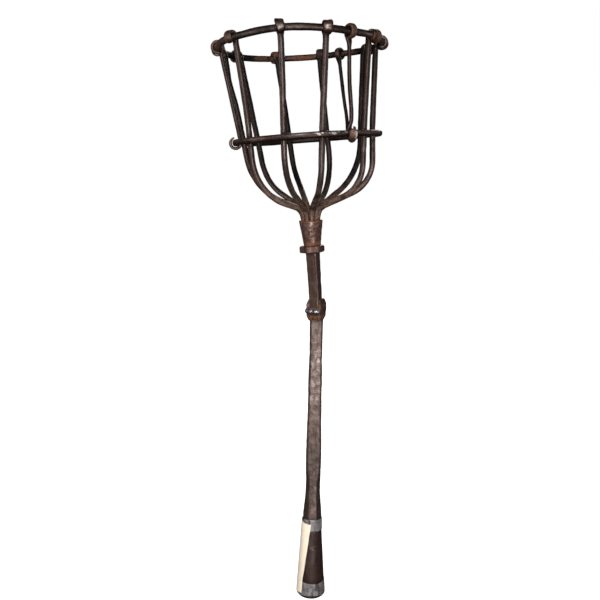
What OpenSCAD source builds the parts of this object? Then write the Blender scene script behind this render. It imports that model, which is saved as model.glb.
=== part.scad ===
// Hand-forged iron cresset: a fire basket of round bars on a stem, shaft and pole socket.
// Origin: centre of the socket's mouth. +Z runs up the shaft, and -Y is the front.

/* [Pole socket] */
// Radius of the straight bore that takes the pole
pole_bore_r = 16; // [14:0.5:17]
// Length of the straight bore, measured from the mouth
pole_bore_len = 45; // [30:1:50]
// Outer radius of the socket at its mouth
socket_mouth_r = 20.6; // [19:0.2:23]
// Outer radius of the socket at its closed end
socket_top_r = 13.9; // [13.5:0.1:15]
// Height of the socket
socket_h = 106; // [104:1:112]
// Height of the band round the mouth
mouth_band_h = 23.5; // [14:0.5:26]
// Thickness of the bands round the socket
band_t = 0.7; // [0.5:0.1:1.2]
// Angle the paper strip covers round the socket before its front edge is trimmed
label_angle = 112; // [80:4:136]

/* [Shaft] */
// Height of the bend between shaft and stem
bend_z = 430; // [425:1:435]
// Angle by which everything above the bend leans to the left
lean = 4.9; // [0:0.1:6]
// Turn of the knuckle and stem about their own axis
stem_turn = 25; // [0:1:45]
// Width of the square upper stem
stem_w = 14.2; // [12:0.2:15]
// Width of the square knuckle
knuckle_w = 21; // [19.5:0.5:23]

/* [Cup and collar] */
// Height of the cup's lower face
cup_z = 519.5; // [519.5:0.5:520]
// Height of the cup
cup_h = 35; // [33:0.5:36]
// Outer radius of the cup at its rim
cup_rim_r = 15.4; // [15.2:0.1:16]
// Outer radius of the cup at its foot
cup_foot_r = 10.6; // [10.4:0.1:12]
// Distance across the corners of the collar under the cup
collar_d = 33.4; // [30:0.2:36]

/* [Basket] */
// Diameter of a basket bar
bar_d = 7.66; // [6:0.02:7.8]
// Radius of the top ring, to the middle of its rod
ring_r = 104; // [103:0.5:106]
// Diameter of the top ring's rod
ring_d = 8.5; // [7.6:0.1:8.6]
// Height of the top ring's centre, before the lean
ring_z = 779.5; // [776:0.5:784]
// Radius of the middle hoop, to the middle of its rod
hoop_r = 94.4; // [94.2:0.1:94.8]
// Diameter of the middle hoop's rod
hoop_d = 8.1; // [7:0.1:8.2]
// Height of the middle hoop's centre, before the lean
hoop_z = 662; // [658:0.5:666]
// How far the middle hoop hangs off-centre to the right
hoop_x = 2.5; // [2:0.1:3]

/* [Hangers] */
// Diameter of a hanger's shank
shank_d = 5; // [4.4:0.1:5.2]
// Diameter of its drawn-down eye and hook
wire_d = 4; // [3.5:0.1:4.2]
// Slack between a hanger's eye or hook and the rod in it
slack = 0.8; // [0.7:0.05:0.9]

/* [Hidden] */
$fn = 48;

iron = [0.16, 0.13, 0.12];
rusty = [0.30, 0.19, 0.14];
shaft_grey = [0.34, 0.31, 0.30];
zinc = [0.55, 0.55, 0.58];
cream = [0.93, 0.88, 0.76];

// The ring hangs a little out of square with the basket: tilt about X, then about Y.
ring_tilt = [-1.6, 1.9];
// Where the bars stand in the cup: distance from its axis, height, radius there,
// inward lean and length of the hidden tail.
foot_r = 11;
foot_z = 564;
foot_bar_r = 3.3;
tail_lean = 4.5;
tail_len = 40.5;
// Eye strap of a bar: thickness, width, sweep of the roll, and how far the bar
// stands inside the ring.
strap_t = 4.5;
strap_w = 11;
eye_sweep = 285;
eye_off = 6.4;
// Radii of a bar's small bend above the cup and of the slow bend below the ring.
kick_r = 8;
flare_r = 400;
waist_len = 35;

// One row for each bar: foot slot, heading, azimuth at the ring, angle of the
// outward slope, radius of the belly bend, lean below and lean above the flare.
// Azimuth 0 is the front, and it grows to the right.
bars = [
  [-172, -169, -161, 52, 40, 2, 8],
  [-136, -132, -124, 60, 60, 6, 7],
  [-100, -101,  -92, 64, 75, 6, 7],
  [ -64,  -62,  -53, 69, 70, 4, 7],
  [ -28,  -25,  -13, 59, 75, 5.5, 6.5],
  [   8,    8,   19, 67, 45, 1.5, 6.5],
  [  44,   56,   61, 71, 45, 3.5, 5.5],
  [  80,   76,   86, 69, 45, 2, 4.5],
  [ 116,  121,  118, 60, 80, 4.5, 5.5],
  [ 152,  152,  163, 71, 80, 4.5, 5.5]
];

// One row for each hanger: azimuth at the ring, azimuth at the hoop.
hangers = [[-83, -89], [35.5, 35.5], [147, 138]];

function pol(r, az) = [r * sin(az), -r * cos(az)];
function ring_dz(az) = let (p = pol(ring_r, az))
  -p[0] * sin(ring_tilt[1]) * cos(ring_tilt[0]) + p[1] * sin(ring_tilt[0]);

// Everything above the bend.
module leaning() {
  translate([0, 0, bend_z]) rotate([0, -lean, 0]) translate([0, 0, -bend_z]) children();
}

// Eight-sided loft through rows of [z, width in X, width in Y, corner cut, shift in Y].
module octo(rows) {
  pts = [for (s = rows) let (x = s[1] / 2, y = s[2] / 2, c = s[3], d = s[4])
    each [[x, d - y + c, s[0]], [x, d + y - c, s[0]], [x - c, d + y, s[0]], [-x + c, d + y, s[0]],
          [-x, d + y - c, s[0]], [-x, d - y + c, s[0]], [-x + c, d - y, s[0]], [x - c, d - y, s[0]]]];
  n = len(rows);
  polyhedron(points = pts, faces = concat(
    [[0, 1, 2, 3, 4, 5, 6, 7]],
    [[for (k = [7 : -1 : 0]) (n - 1) * 8 + k]],
    [for (j = [0 : n - 2], k = [0 : 7])
      [j * 8 + k, (j + 1) * 8 + k, (j + 1) * 8 + (k + 1) % 8, j * 8 + (k + 1) % 8]]), convexity = 4);
}

function socket_r(z) = socket_mouth_r + (socket_top_r - socket_mouth_r) * z / socket_h;

module pole_socket() {
  color(iron) difference() {
    cylinder(h = socket_h, r1 = socket_mouth_r, r2 = socket_top_r);
    translate([0, 0, -1]) cylinder(h = pole_bore_len + 1, r = pole_bore_r);
    translate([0, 0, pole_bore_len]) cylinder(h = 90 - pole_bore_len, r1 = pole_bore_r, r2 = 11.8);
    translate([0, 0, 80]) cylinder(h = 40, r = 9);
    rivet_shape();
  }
}

module cone_band(z0, z1, r0, r1) {
  difference() {
    translate([0, 0, z0]) cylinder(h = z1 - z0, r1 = r0, r2 = r1);
    cylinder(h = socket_h, r1 = socket_mouth_r, r2 = socket_top_r);
    translate([0, 0, 90]) cylinder(h = 40, r = 9);
  }
}

module socket_mouth_band() {
  color(zinc) cone_band(0, mouth_band_h, socket_mouth_r + band_t, socket_r(mouth_band_h) + band_t);
}

module socket_upper_band() {
  color(zinc) cone_band(103.5, 120.5, socket_r(103.5) + band_t, 14.5);
}

// A small headed rivet through the front wall.
module rivet_shape() {
  translate([0, 0, 80]) rotate([90, 0, 16]) {
    translate([0, 0, 13.2]) cylinder(h = 3, r = 1.6);
    intersection() {
      translate([0, 0, 15.5]) cylinder(h = 4, r = 2.9);
      translate([0, 0, 12.9]) sphere(r = 4.3);
    }
  }
}

module socket_rivet() {
  color(iron) rivet_shape();
}

// A thin strip of paper laid up the left side over both bands, its front edge askew.
module inventory_label() {
  r0 = socket_mouth_r + band_t + 0.05;
  r1 = socket_r(112) + band_t + 0.55;
  color(cream) difference() {
    rotate([0, 0, 152]) rotate_extrude(angle = label_angle)
      polygon([[r0, 3], [r0 + 0.5, 3], [r1 + 0.5, 118], [r1, 118]]);
    translate([-14.8, 0, 0]) rotate([0, 7, 0]) translate([0, -50, -50]) cube([100, 100, 250]);
  }
}

module lower_shaft() {
  color(shaft_grey) {
    octo([[120.5, 26.8, 26.7, 7.7, 0], [131, 26.2, 25.8, 7.4, 0], [147, 22.7, 22.6, 6, 0],
          [163, 20.9, 20.6, 5.2, 0], [178, 20.5, 19.6, 4.7, 0], [190, 21, 18.8, 3.4, 0],
          [206, 21.6, 18.4, 1.8, 0], [240, 21.2, 18, 1.6, 0], [270, 19.6, 17.6, 1.6, 0],
          [300, 18.9, 17.2, 1.6, 0], [330, 19, 17, 1.6, 0], [359, 17.6, 16.6, 1.6, 0],
          [388, 17.6, 16.6, 1.6, 0], [409, 18.2, 16.8, 1.6, 0], [414.5, 18.4, 17, 1.8, 0]]);
    translate([0, 0, 91]) cylinder(h = 30, r = 9);
    translate([-5, -5, 414]) cube([10, 10, 8]);
  }
}

// The stem's square bar, set forward in the knuckle, and its tang between the bar feet.
module stem_solid() {
  leaning() rotate([0, 0, stem_turn])
    octo([[434, 14.2, 14.2, 1.3, -1.6], [446, stem_w, stem_w, 1.3, -1.6],
          [449, stem_w, stem_w, 1.3, -0.8], [cup_z - 10, stem_w, stem_w, 1.3, 0],
          [cup_z - 10, 10, 10, 1.4, 0], [560, 8.6, 8.6, 1.4, 0]]);
}

module knuckle() {
  color(rusty) difference() {
    rotate([0, 0, stem_turn])
      octo([[414.5, 15.5, 15.5, 1.2, 0], [420.5, knuckle_w - 0.6, knuckle_w - 0.6, 1.2, 0],
            [438, knuckle_w, knuckle_w, 1.2, 0], [445.5, 16.4, 16.4, 1.2, 0]]);
    bead_solid();
    stem_solid();
    translate([-5, -5, 410]) cube([10, 10, 12]);
  }
}

// Four half-buried rods joined by round corners.
module bead_solid() {
  a = knuckle_w / 2 - 1.5;
  r = 3.1;
  rotate([0, 0, stem_turn]) translate([0, 0, 428]) for (k = [0 : 3]) rotate([0, 0, 90 * k]) {
    translate([-a + 1, -a, 0]) rotate([0, 90, 0]) cylinder(h = 2 * a - 2, r = r);
    translate([-a, -a, 0]) sphere(r = r + 0.3);
  }
}

module knuckle_bead() {
  color(iron) bead_solid();
}

module upper_stem() {
  color(iron) stem_solid();
}

module stem_collar() {
  color(iron) leaning() difference() {
    rotate([0, 0, -30]) intersection() {
      translate([0, 0, cup_z - 10]) cylinder(h = 10, d = collar_d, $fn = 6);
      translate([0, 0, cup_z - 5]) sphere(r = collar_d / 2 + 0.3);
    }
    translate([0, 0, cup_z - 12]) rotate([0, 0, stem_turn]) translate([-5, -5, 0]) cube([10, 10, 14]);
  }
}

module bar_cup() {
  color(rusty) leaning() difference() {
    translate([0, 0, cup_z]) cylinder(h = cup_h, r1 = cup_foot_r, r2 = cup_rim_r);
    translate([0, 0, cup_z + 4]) cylinder(h = cup_h - 3.99, r1 = cup_foot_r - 0.7, r2 = cup_rim_r - 1.05);
    rotate([0, 0, stem_turn]) translate([-5, -5, cup_z - 1]) cube([10, 10, 8]);
  }
}

// A thin collar over the seam between two lengths of round bar, drawn along Z.
module seam(r) {
  translate([0, 0, -0.6]) cylinder(h = 1.2, r = r + 0.05);
}

// A bend of round bar in the XZ plane, from one angle to another about its centre.
module bend(rad, r, from, sweep) {
  g = 0.3 / rad * 57.3;
  rotate([90, 0, 0]) rotate([0, 0, from + g]) rotate_extrude(angle = sweep - 2 * g)
    translate([rad, 0]) circle(r = r);
}

// A bar in its own plane: X outwards, Z up, starting at the foot and ending under
// the eye at [tx, tz]. Its two free straight lengths follow from that end.
module bar_shape(b, tx, tz) {
  th = b[3]; R1 = b[4]; a1 = b[5]; a2 = b[6];
  fx = kick_r * (1 - cos(th)) + R1 * (cos(a1) - cos(th)) + waist_len * sin(a1) + flare_r * (cos(a1) - cos(a2));
  fz = kick_r * sin(th) + R1 * (sin(th) - sin(a1)) + waist_len * cos(a1) + flare_r * (sin(a2) - sin(a1));
  det = sin(th) * cos(a2) - sin(a2) * cos(th);
  s1 = ((tx - fx) * cos(a2) - sin(a2) * (tz - fz)) / det;
  s2 = (sin(th) * (tz - fz) - cos(th) * (tx - fx)) / det;
  r = bar_d / 2;
  x1 = kick_r * (1 - cos(th)); z1 = kick_r * sin(th);
  x2 = x1 + s1 * sin(th); z2 = z1 + s1 * cos(th);
  x3 = x2 + R1 * (cos(a1) - cos(th)); z3 = z2 + R1 * (sin(th) - sin(a1));
  x4 = x3 + waist_len * sin(a1); z4 = z3 + waist_len * cos(a1);
  x5 = x4 + flare_r * (cos(a1) - cos(a2)); z5 = z4 + flare_r * (sin(a2) - sin(a1));
  // kick out above the cup
  translate([kick_r, 0, 0]) bend(kick_r, foot_bar_r, 180 - th, th);
  // outward slope, swelling to full thickness
  translate([x1, 0, z1]) rotate([0, th, 0]) {
    seam(foot_bar_r);
    rotate_extrude() polygon([[0, 0.3], [foot_bar_r, 0.3], [r, s1 * 0.6], [r, s1 - 0.3], [0, s1 - 0.3]]);
    translate([0, 0, s1]) seam(r);
  }
  // belly
  translate([x2 - R1 * cos(th), 0, z2 + R1 * sin(th)]) bend(R1, r, -th, th - a1);
  // waist
  translate([x3, 0, z3]) rotate([0, a1, 0]) {
    seam(r);
    translate([0, 0, 0.3]) cylinder(h = waist_len - 0.6, r = r);
    translate([0, 0, waist_len]) seam(r);
  }
  // slow flare
  translate([x4 + flare_r * cos(a1), 0, z4 - flare_r * sin(a1)]) bend(flare_r, r, 180 - a2, a2 - a1);
  // upper length, drawn down at its end to pass into the flat of the eye
  translate([x5, 0, z5]) rotate([0, a2, 0]) {
    seam(r);
    rotate_extrude() polygon([[0, 0.3], [r, 0.3], [r, s2 - 4], [2.2, s2], [0, s2]]);
  }
}

// The flattened end of a bar, rolled outwards over the ring and back under it.
// X outwards, Z up, centred on the ring's rod.
module eye() {
  c = ring_d / 2 + 0.1 + strap_t / 2;
  w = strap_w / 2;
  translate([-c - strap_t / 2 + 0.2, 0, 0]) rotate([90, 0, 90]) linear_extrude(height = strap_t - 0.4)
    polygon([[-2.8, -13], [2.8, -13], [w - 0.2, -5.5], [w - 0.2, 1.5], [-w + 0.2, 1.5], [-w + 0.2, -5.5]]);
  rotate([90, 0, 0]) rotate([0, 0, 180 - eye_sweep]) rotate_extrude(angle = eye_sweep)
    translate([c, 0]) polygon([[-strap_t / 2, -w], [strap_t / 2 - 1.3, -w], [strap_t / 2, -w + 1.6],
      [strap_t / 2, w - 1.6], [strap_t / 2 - 1.3, w], [-strap_t / 2, w]]);
}

// Sets bar k in its foot slot, turns it to its heading and leans it sideways until
// it meets its eye on the ring.
module bar(k) {
  b = bars[k];
  a2 = b[6];
  p0 = pol(foot_r, b[0]);
  rz = ring_z + ring_dz(b[2]);
  t = pol(ring_r - eye_off * cos(a2) - 6 * sin(a2), b[2]) - p0;
  h = rz + eye_off * sin(a2) - 6 * cos(a2) - foot_z;
  u = pol(1, b[1]);
  yt = u[0] * t[1] - u[1] * t[0];
  color(iron) leaning() {
    translate([p0[0], p0[1], foot_z]) {
      sphere(r = foot_bar_r + 0.15);
      // tapered tail, leaning in towards the middle of the cup
      rotate([0, 0, b[0] - 90]) rotate([0, tail_lean, 0]) translate([0, 0, -tail_len])
        cylinder(h = tail_len - 0.3, r1 = 1.7, r2 = foot_bar_r);
      rotate([0, 0, b[1] - 90]) rotate([-atan2(yt, h), 0, 0])
        bar_shape(b, u * t, sqrt(h * h + yt * yt));
    }
    translate([pol(ring_r, b[2])[0], pol(ring_r, b[2])[1], rz]) rotate([0, 0, b[2] - 90])
      rotate([0, a2, 0]) eye();
  }
}

module bar_01() { bar(0); }
module bar_02() { bar(1); }
module bar_03() { bar(2); }
module bar_04() { bar(3); }
module bar_05() { bar(4); }
module bar_06() { bar(5); }
module bar_07() { bar(6); }
module bar_08() { bar(7); }
module bar_09() { bar(8); }
module bar_10() { bar(9); }

module top_ring() {
  color(iron) leaning() translate([0, 0, ring_z]) rotate([ring_tilt[0], 0, 0]) rotate([0, ring_tilt[1], 0])
    rotate_extrude($fn = 120) translate([ring_r, 0]) circle(d = ring_d);
}

module middle_hoop() {
  color(iron) leaning() translate([hoop_x, 0, hoop_z])
    rotate_extrude($fn = 120) translate([hoop_r, 0]) circle(d = hoop_d);
}

// A hanger from the middle of the ring's rod to the middle of the hoop's rod.
// In its own plane a closed eye rides on the ring, the shank runs down inside the
// hoop, and the hook turns outwards under it with its tip at the top.
module hanger(k) {
  a = hangers[k];
  pt = pol(ring_r, a[0]);
  pb = pol(hoop_r, a[1]) + [hoop_x, 0];
  h = ring_z + ring_dz(a[0]) - hoop_z;
  d = pt - pb;
  ur = pol(1, a[1]);
  dr = d[0] * ur[0] + d[1] * ur[1];
  dt = -d[0] * ur[1] + d[1] * ur[0];
  hh = sqrt(h * h + dt * dt);
  len = sqrt(hh * hh + dr * dr);
  ct = ring_d / 2 + slack - 0.1 + wire_d / 2;
  cb = hoop_d / 2 + slack + wire_d / 2;
  ex = 2.4;
  w = wire_d / 2;
  r = shank_d / 2;
  color(iron) leaning() translate([pb[0], pb[1], hoop_z]) rotate([0, 0, a[1] - 90])
    rotate([-atan2(dt, h), 0, 0]) rotate([0, atan2(dr, hh) - asin((ex - cb) / len), 0]) {
      L = sqrt(len * len - (ex - cb) * (ex - cb));
      n = L - sqrt(ct * ct - ex * ex);
      translate([-cb, 0, 0]) {
        seam(w);
        rotate_extrude() polygon([[0, 0.3], [w, 0.3], [r, 9], [r, n - 5], [1.7, n + 0.2], [0, n + 0.2]]);
      }
      bend(cb, w, 180, 262);
      translate([ex - cb, 0, L]) rotate([90, 0, 0]) rotate_extrude() translate([ct, 0]) circle(r = w);
    }
}

module hanger_left() { hanger(0); }
module hanger_front() { hanger(1); }
module hanger_back() { hanger(2); }

pole_socket();
socket_mouth_band();
socket_upper_band();
socket_rivet();
inventory_label();
lower_shaft();
knuckle();
knuckle_bead();
upper_stem();
stem_collar();
bar_cup();
bar_01();
bar_02();
bar_03();
bar_04();
bar_05();
bar_06();
bar_07();
bar_08();
bar_09();
bar_10();
top_ring();
middle_hoop();
hanger_left();
hanger_front();
hanger_back();
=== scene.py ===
"""Looks of the hand-forged iron cresset: every piece is a mesh made here in code, in the row frame, in metres.

Lengths in the functions below are millimetres until mesh_piece() turns them into metres.
"""

import math

import bpy
import numpy as np
from mathutils import Matrix, Vector


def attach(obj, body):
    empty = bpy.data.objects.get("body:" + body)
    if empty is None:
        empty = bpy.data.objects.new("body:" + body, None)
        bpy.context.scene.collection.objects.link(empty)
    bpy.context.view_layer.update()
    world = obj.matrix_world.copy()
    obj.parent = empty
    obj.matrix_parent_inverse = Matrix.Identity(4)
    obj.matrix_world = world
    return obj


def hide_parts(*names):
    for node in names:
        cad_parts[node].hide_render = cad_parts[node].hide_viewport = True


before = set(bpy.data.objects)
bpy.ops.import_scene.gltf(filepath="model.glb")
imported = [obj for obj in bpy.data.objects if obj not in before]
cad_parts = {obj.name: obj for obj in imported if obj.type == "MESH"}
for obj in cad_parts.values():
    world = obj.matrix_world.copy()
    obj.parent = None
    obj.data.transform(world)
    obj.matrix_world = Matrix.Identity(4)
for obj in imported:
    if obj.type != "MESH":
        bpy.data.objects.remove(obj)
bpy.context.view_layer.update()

# ---------------------------------------------------------------- driving sizes

SOCKET_R0, SOCKET_R1, SOCKET_H = 20.6, 13.9, 106.0
BORE_R, BORE_LEN = 16.0, 45.0
BAND_T = 0.7
BEND_Z, LEAN = 430.0, 4.9
TURN = -25.0
CUP_Z, CUP_H, CUP_FOOT, CUP_RIM = 519.5, 35.0, 10.6, 15.4
COLLAR_D = 33.4
RING_R, RING_D, RING_Z, RING_TILT = 104.0, 8.5, 779.5, (-1.6, 1.9)
HOOP_R, HOOP_D, HOOP_Z, HOOP_X = 94.4, 8.1, 662.0, 2.5
FOOT_R, FOOT_Z, FOOT_BAR_R, TAIL_LEAN, TAIL_LEN = 11.0, 564.0, 3.3, 4.5, 40.5
BAR_R, KICK_R, FLARE_R, WAIST, EYE_OFF = 3.83, 8.0, 400.0, 35.0, 6.4
SHANK_R, WIRE_R, SLACK = 2.5, 2.0, 0.8

# foot slot, heading, azimuth at the ring, outward slope, belly radius, lean below, lean above
BARS = [
    (-172, -169, -161, 52, 40, 2, 8),
    (-136, -132, -124, 60, 60, 6, 7),
    (-100, -101, -92, 64, 75, 6, 7),
    (-64, -62, -53, 69, 70, 4, 7),
    (-28, -25, -13, 59, 75, 5.5, 6.5),
    (8, 8, 19, 67, 45, 1.5, 6.5),
    (44, 56, 61, 71, 45, 3.5, 5.5),
    (80, 76, 86, 69, 45, 2, 4.5),
    (116, 121, 118, 60, 80, 4.5, 5.5),
    (152, 152, 163, 71, 80, 4.5, 5.5),
]
# azimuth at the ring, azimuth at the hoop
HANGERS = [(-83, -89), (35.5, 35.5), (147, 138)]
# how each rolled eye differs: sideways drift of the roll, share of the full roll, width, saddle on top,
# how far it rides above the ring, thickness on its outer side
EYES = [
    (0.6, 0.97, 1.00, 0.2, 1.2, 1.0),
    (-0.5, 0.98, 0.94, 0.3, 0.0, 1.0),
    (-1.0, 1.00, 1.20, 0.2, 0.0, 1.0),
    (2.6, 0.97, 1.02, 0.3, -0.4, 0.5),
    (4.8, 0.95, 0.96, 0.4, 1.3, 0.85),
    (-2.6, 0.98, 1.05, 1.0, 0.8, 0.85),
    (-3.6, 0.98, 1.22, 0.4, -1.3, 0.95),
    (-1.2, 1.00, 1.28, 0.3, 0.2, 1.2),
    (0.5, 0.96, 0.95, 0.2, 0.0, 1.0),
    (-0.9, 0.97, 0.95, 0.3, 1.6, 1.0),
]
# the ring was never quite flat: how far it rises or droops, at some azimuths
RING_RISE = [(-92, -2), (-53, -0.4), (-41, -0.9), (-27, 0.5), (-5, 1.1), (10, -0.3), (26, -1.6), (40, -3.0), (50, -2.8), (61, -1.7), (86, -3), (118, -1), (130, 0.5), (148, 1.5), (168, 1), (188, 0.5), (204, -0.5), (226, -2), (246, -2)]

# ---------------------------------------------------------------- small mathematics


def sind(a):
    return np.sin(np.radians(a))


def cosd(a):
    return np.cos(np.radians(a))


def pol(r, az):
    """A point at that radius and azimuth: 0 is the front, and it grows to the right."""
    return np.array([r * sind(az), -r * cosd(az), 0.0])


def rx(p, a):
    p = np.atleast_2d(p)
    c, s = cosd(a), sind(a)
    return np.c_[p[:, 0], p[:, 1] * c - p[:, 2] * s, p[:, 1] * s + p[:, 2] * c]


def ry(p, a):
    p = np.atleast_2d(p)
    c, s = cosd(a), sind(a)
    return np.c_[p[:, 0] * c + p[:, 2] * s, p[:, 1], -p[:, 0] * s + p[:, 2] * c]


def rz(p, a):
    p = np.atleast_2d(p)
    c, s = cosd(a), sind(a)
    return np.c_[p[:, 0] * c - p[:, 1] * s, p[:, 0] * s + p[:, 1] * c, p[:, 2]]


def leaning(p):
    """Everything above the bend leans to the left."""
    up = np.array([0.0, 0.0, BEND_Z])
    return ry(np.atleast_2d(p) - up, -LEAN) + up


def smooth(x, a, b):
    t = np.clip((np.asarray(x, float) - a) / (b - a), 0, 1)
    return t * t * (3 - 2 * t)


def ring_rise(az):
    """The ring's own waviness at an azimuth, in millimetres."""
    at = np.array([r[0] for r in RING_RISE], float)
    up = np.array([r[1] for r in RING_RISE], float)
    az = (np.asarray(az, float) + 92) % 360 - 92
    return np.interp(az, np.r_[at, at[0] + 360], np.r_[up, up[0]])


def ring_dz(az):
    p = pol(RING_R, az)
    return -p[0] * sind(RING_TILT[1]) * cosd(RING_TILT[0]) + p[1] * sind(RING_TILT[0]) + float(ring_rise(az))


def _lattice(i, j, k, seed):
    n = i * 73856093 ^ j * 19349663 ^ k * 83492791 ^ (seed * 40503 + 977)
    n = (n ^ (n >> 13)) & 0x7FFFFFFF
    n = (n * 1274126177) & 0x7FFFFFFF
    n = (n ^ (n >> 15)) & 0x7FFFFFFF
    n = (n * 668265263) & 0x7FFFFFFF
    return ((n >> 8) & 0xFFFF) / 32767.5 - 1.0


def noise(p, size, seed=0):
    """Smooth value noise in -1..1, with features of that size in millimetres."""
    q = np.asarray(p, float) / size
    i = np.floor(q).astype(np.int64)
    f = q - i
    f = f * f * f * (f * (f * 6 - 15) + 10)
    out = np.zeros(len(q))
    for a in (0, 1):
        for b in (0, 1):
            for c in (0, 1):
                w = (
                    (f[:, 0] if a else 1 - f[:, 0])
                    * (f[:, 1] if b else 1 - f[:, 1])
                    * (f[:, 2] if c else 1 - f[:, 2])
                )
                out += w * _lattice(i[:, 0] + a, i[:, 1] + b, i[:, 2] + c, seed)
    return out


def fbm(p, size, seed=0, octaves=3, gain=0.5):
    out, amp, total = 0, 1.0, 0.0
    for o in range(octaves):
        out = out + amp * noise(p, size / 2**o, seed + 31 * o)
        total += amp
        amp *= gain
    return out / total


def hammered(s, t, width, height, count, radius, depth, seed):
    """Shallow scallops left by a hammer on a surface unrolled to s, t: how far each point lies in or out."""
    rng = np.random.RandomState(seed)
    cs = rng.uniform(0, width, count)
    ct = rng.uniform(0, height, count)
    h = -depth * rng.uniform(0, 1, count)
    best = np.full(len(s), 1e9)
    for a, b, c in zip(cs, ct, h):
        d = np.abs(s - a)
        d = np.minimum(d, width - d)
        best = np.minimum(best, c + (d * d + (t - b) ** 2) / (2 * radius))
    return best


def even(path, step):
    """The same path with points an even step apart."""
    d = np.r_[0, np.cumsum(np.linalg.norm(np.diff(path, axis=0), axis=1))]
    n = max(3, int(round(d[-1] / step)) + 1)
    s = np.linspace(0, d[-1], n)
    return np.stack([np.interp(s, d, path[:, k]) for k in range(3)], 1), s


def relax(path, sigma, step):
    """Rounds the changes of direction along an evenly spaced path, and keeps its ends."""
    n = int(3 * sigma / step)
    w = np.exp(-0.5 * (np.arange(-n, n + 1) * step / sigma) ** 2)
    w /= w.sum()
    a = 2 * path[0] - path[n:0:-1]
    b = 2 * path[-1] - path[-2 : -n - 2 : -1]
    full = np.vstack([a, path, b])
    return np.stack([np.convolve(full[:, k], w, "valid") for k in range(3)], 1)


# ---------------------------------------------------------------- meshes


def mesh_piece(name, verts, faces, body, nodes, material, attributes=None, sharp=None):
    """One finished piece: its mesh, its material, the body it rides on and the nodes it stands for."""
    mesh = bpy.data.meshes.new(name)
    mesh.from_pydata((np.asarray(verts, float) * 0.001).tolist(), [], [list(f) for f in faces])
    mesh.validate()
    for poly in mesh.polygons:
        poly.use_smooth = True
    for key, value in (attributes or {}).items():
        value = np.asarray(value, np.float32)
        kind = "FLOAT" if value.ndim == 1 else "FLOAT_VECTOR"
        field = "value" if value.ndim == 1 else "vector"
        mesh.attributes.new(key, kind, "POINT").data.foreach_set(field, value.ravel())
    if sharp:
        mesh.set_sharp_from_angle(angle=math.radians(sharp))
    mesh.materials.append(material)
    obj = bpy.data.objects.new(name, mesh)
    bpy.context.scene.collection.objects.link(obj)
    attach(obj, body)
    if nodes:
        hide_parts(*nodes)
    return obj


def tube_faces(rings, m, start=True, end=True, offset=0, closed=False):
    """Quads between successive rings of m points."""
    faces = []
    last = rings if closed else rings - 1
    for i in range(last):
        a, b = offset + i * m, offset + ((i + 1) % rings) * m
        for k in range(m):
            k2 = (k + 1) % m
            faces.append((a + k, a + k2, b + k2, b + k))
    return faces


def carry(tangent, at, side):
    """Side vectors carried along a path without twist, from the point where one is given."""
    n = len(tangent)
    out = np.zeros((n, 3))
    v = side - tangent[at] * (side @ tangent[at])
    out[at] = v / np.linalg.norm(v)
    for order in (range(at + 1, n), range(at - 1, -1, -1)):
        prev = out[at]
        for i in order:
            v = prev - tangent[i] * (prev @ tangent[i])
            prev = v / np.linalg.norm(v)
            out[i] = prev
    return out


def tangents(path):
    t = np.gradient(path, axis=0)
    return t / np.linalg.norm(t, axis=1)[:, None]


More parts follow.
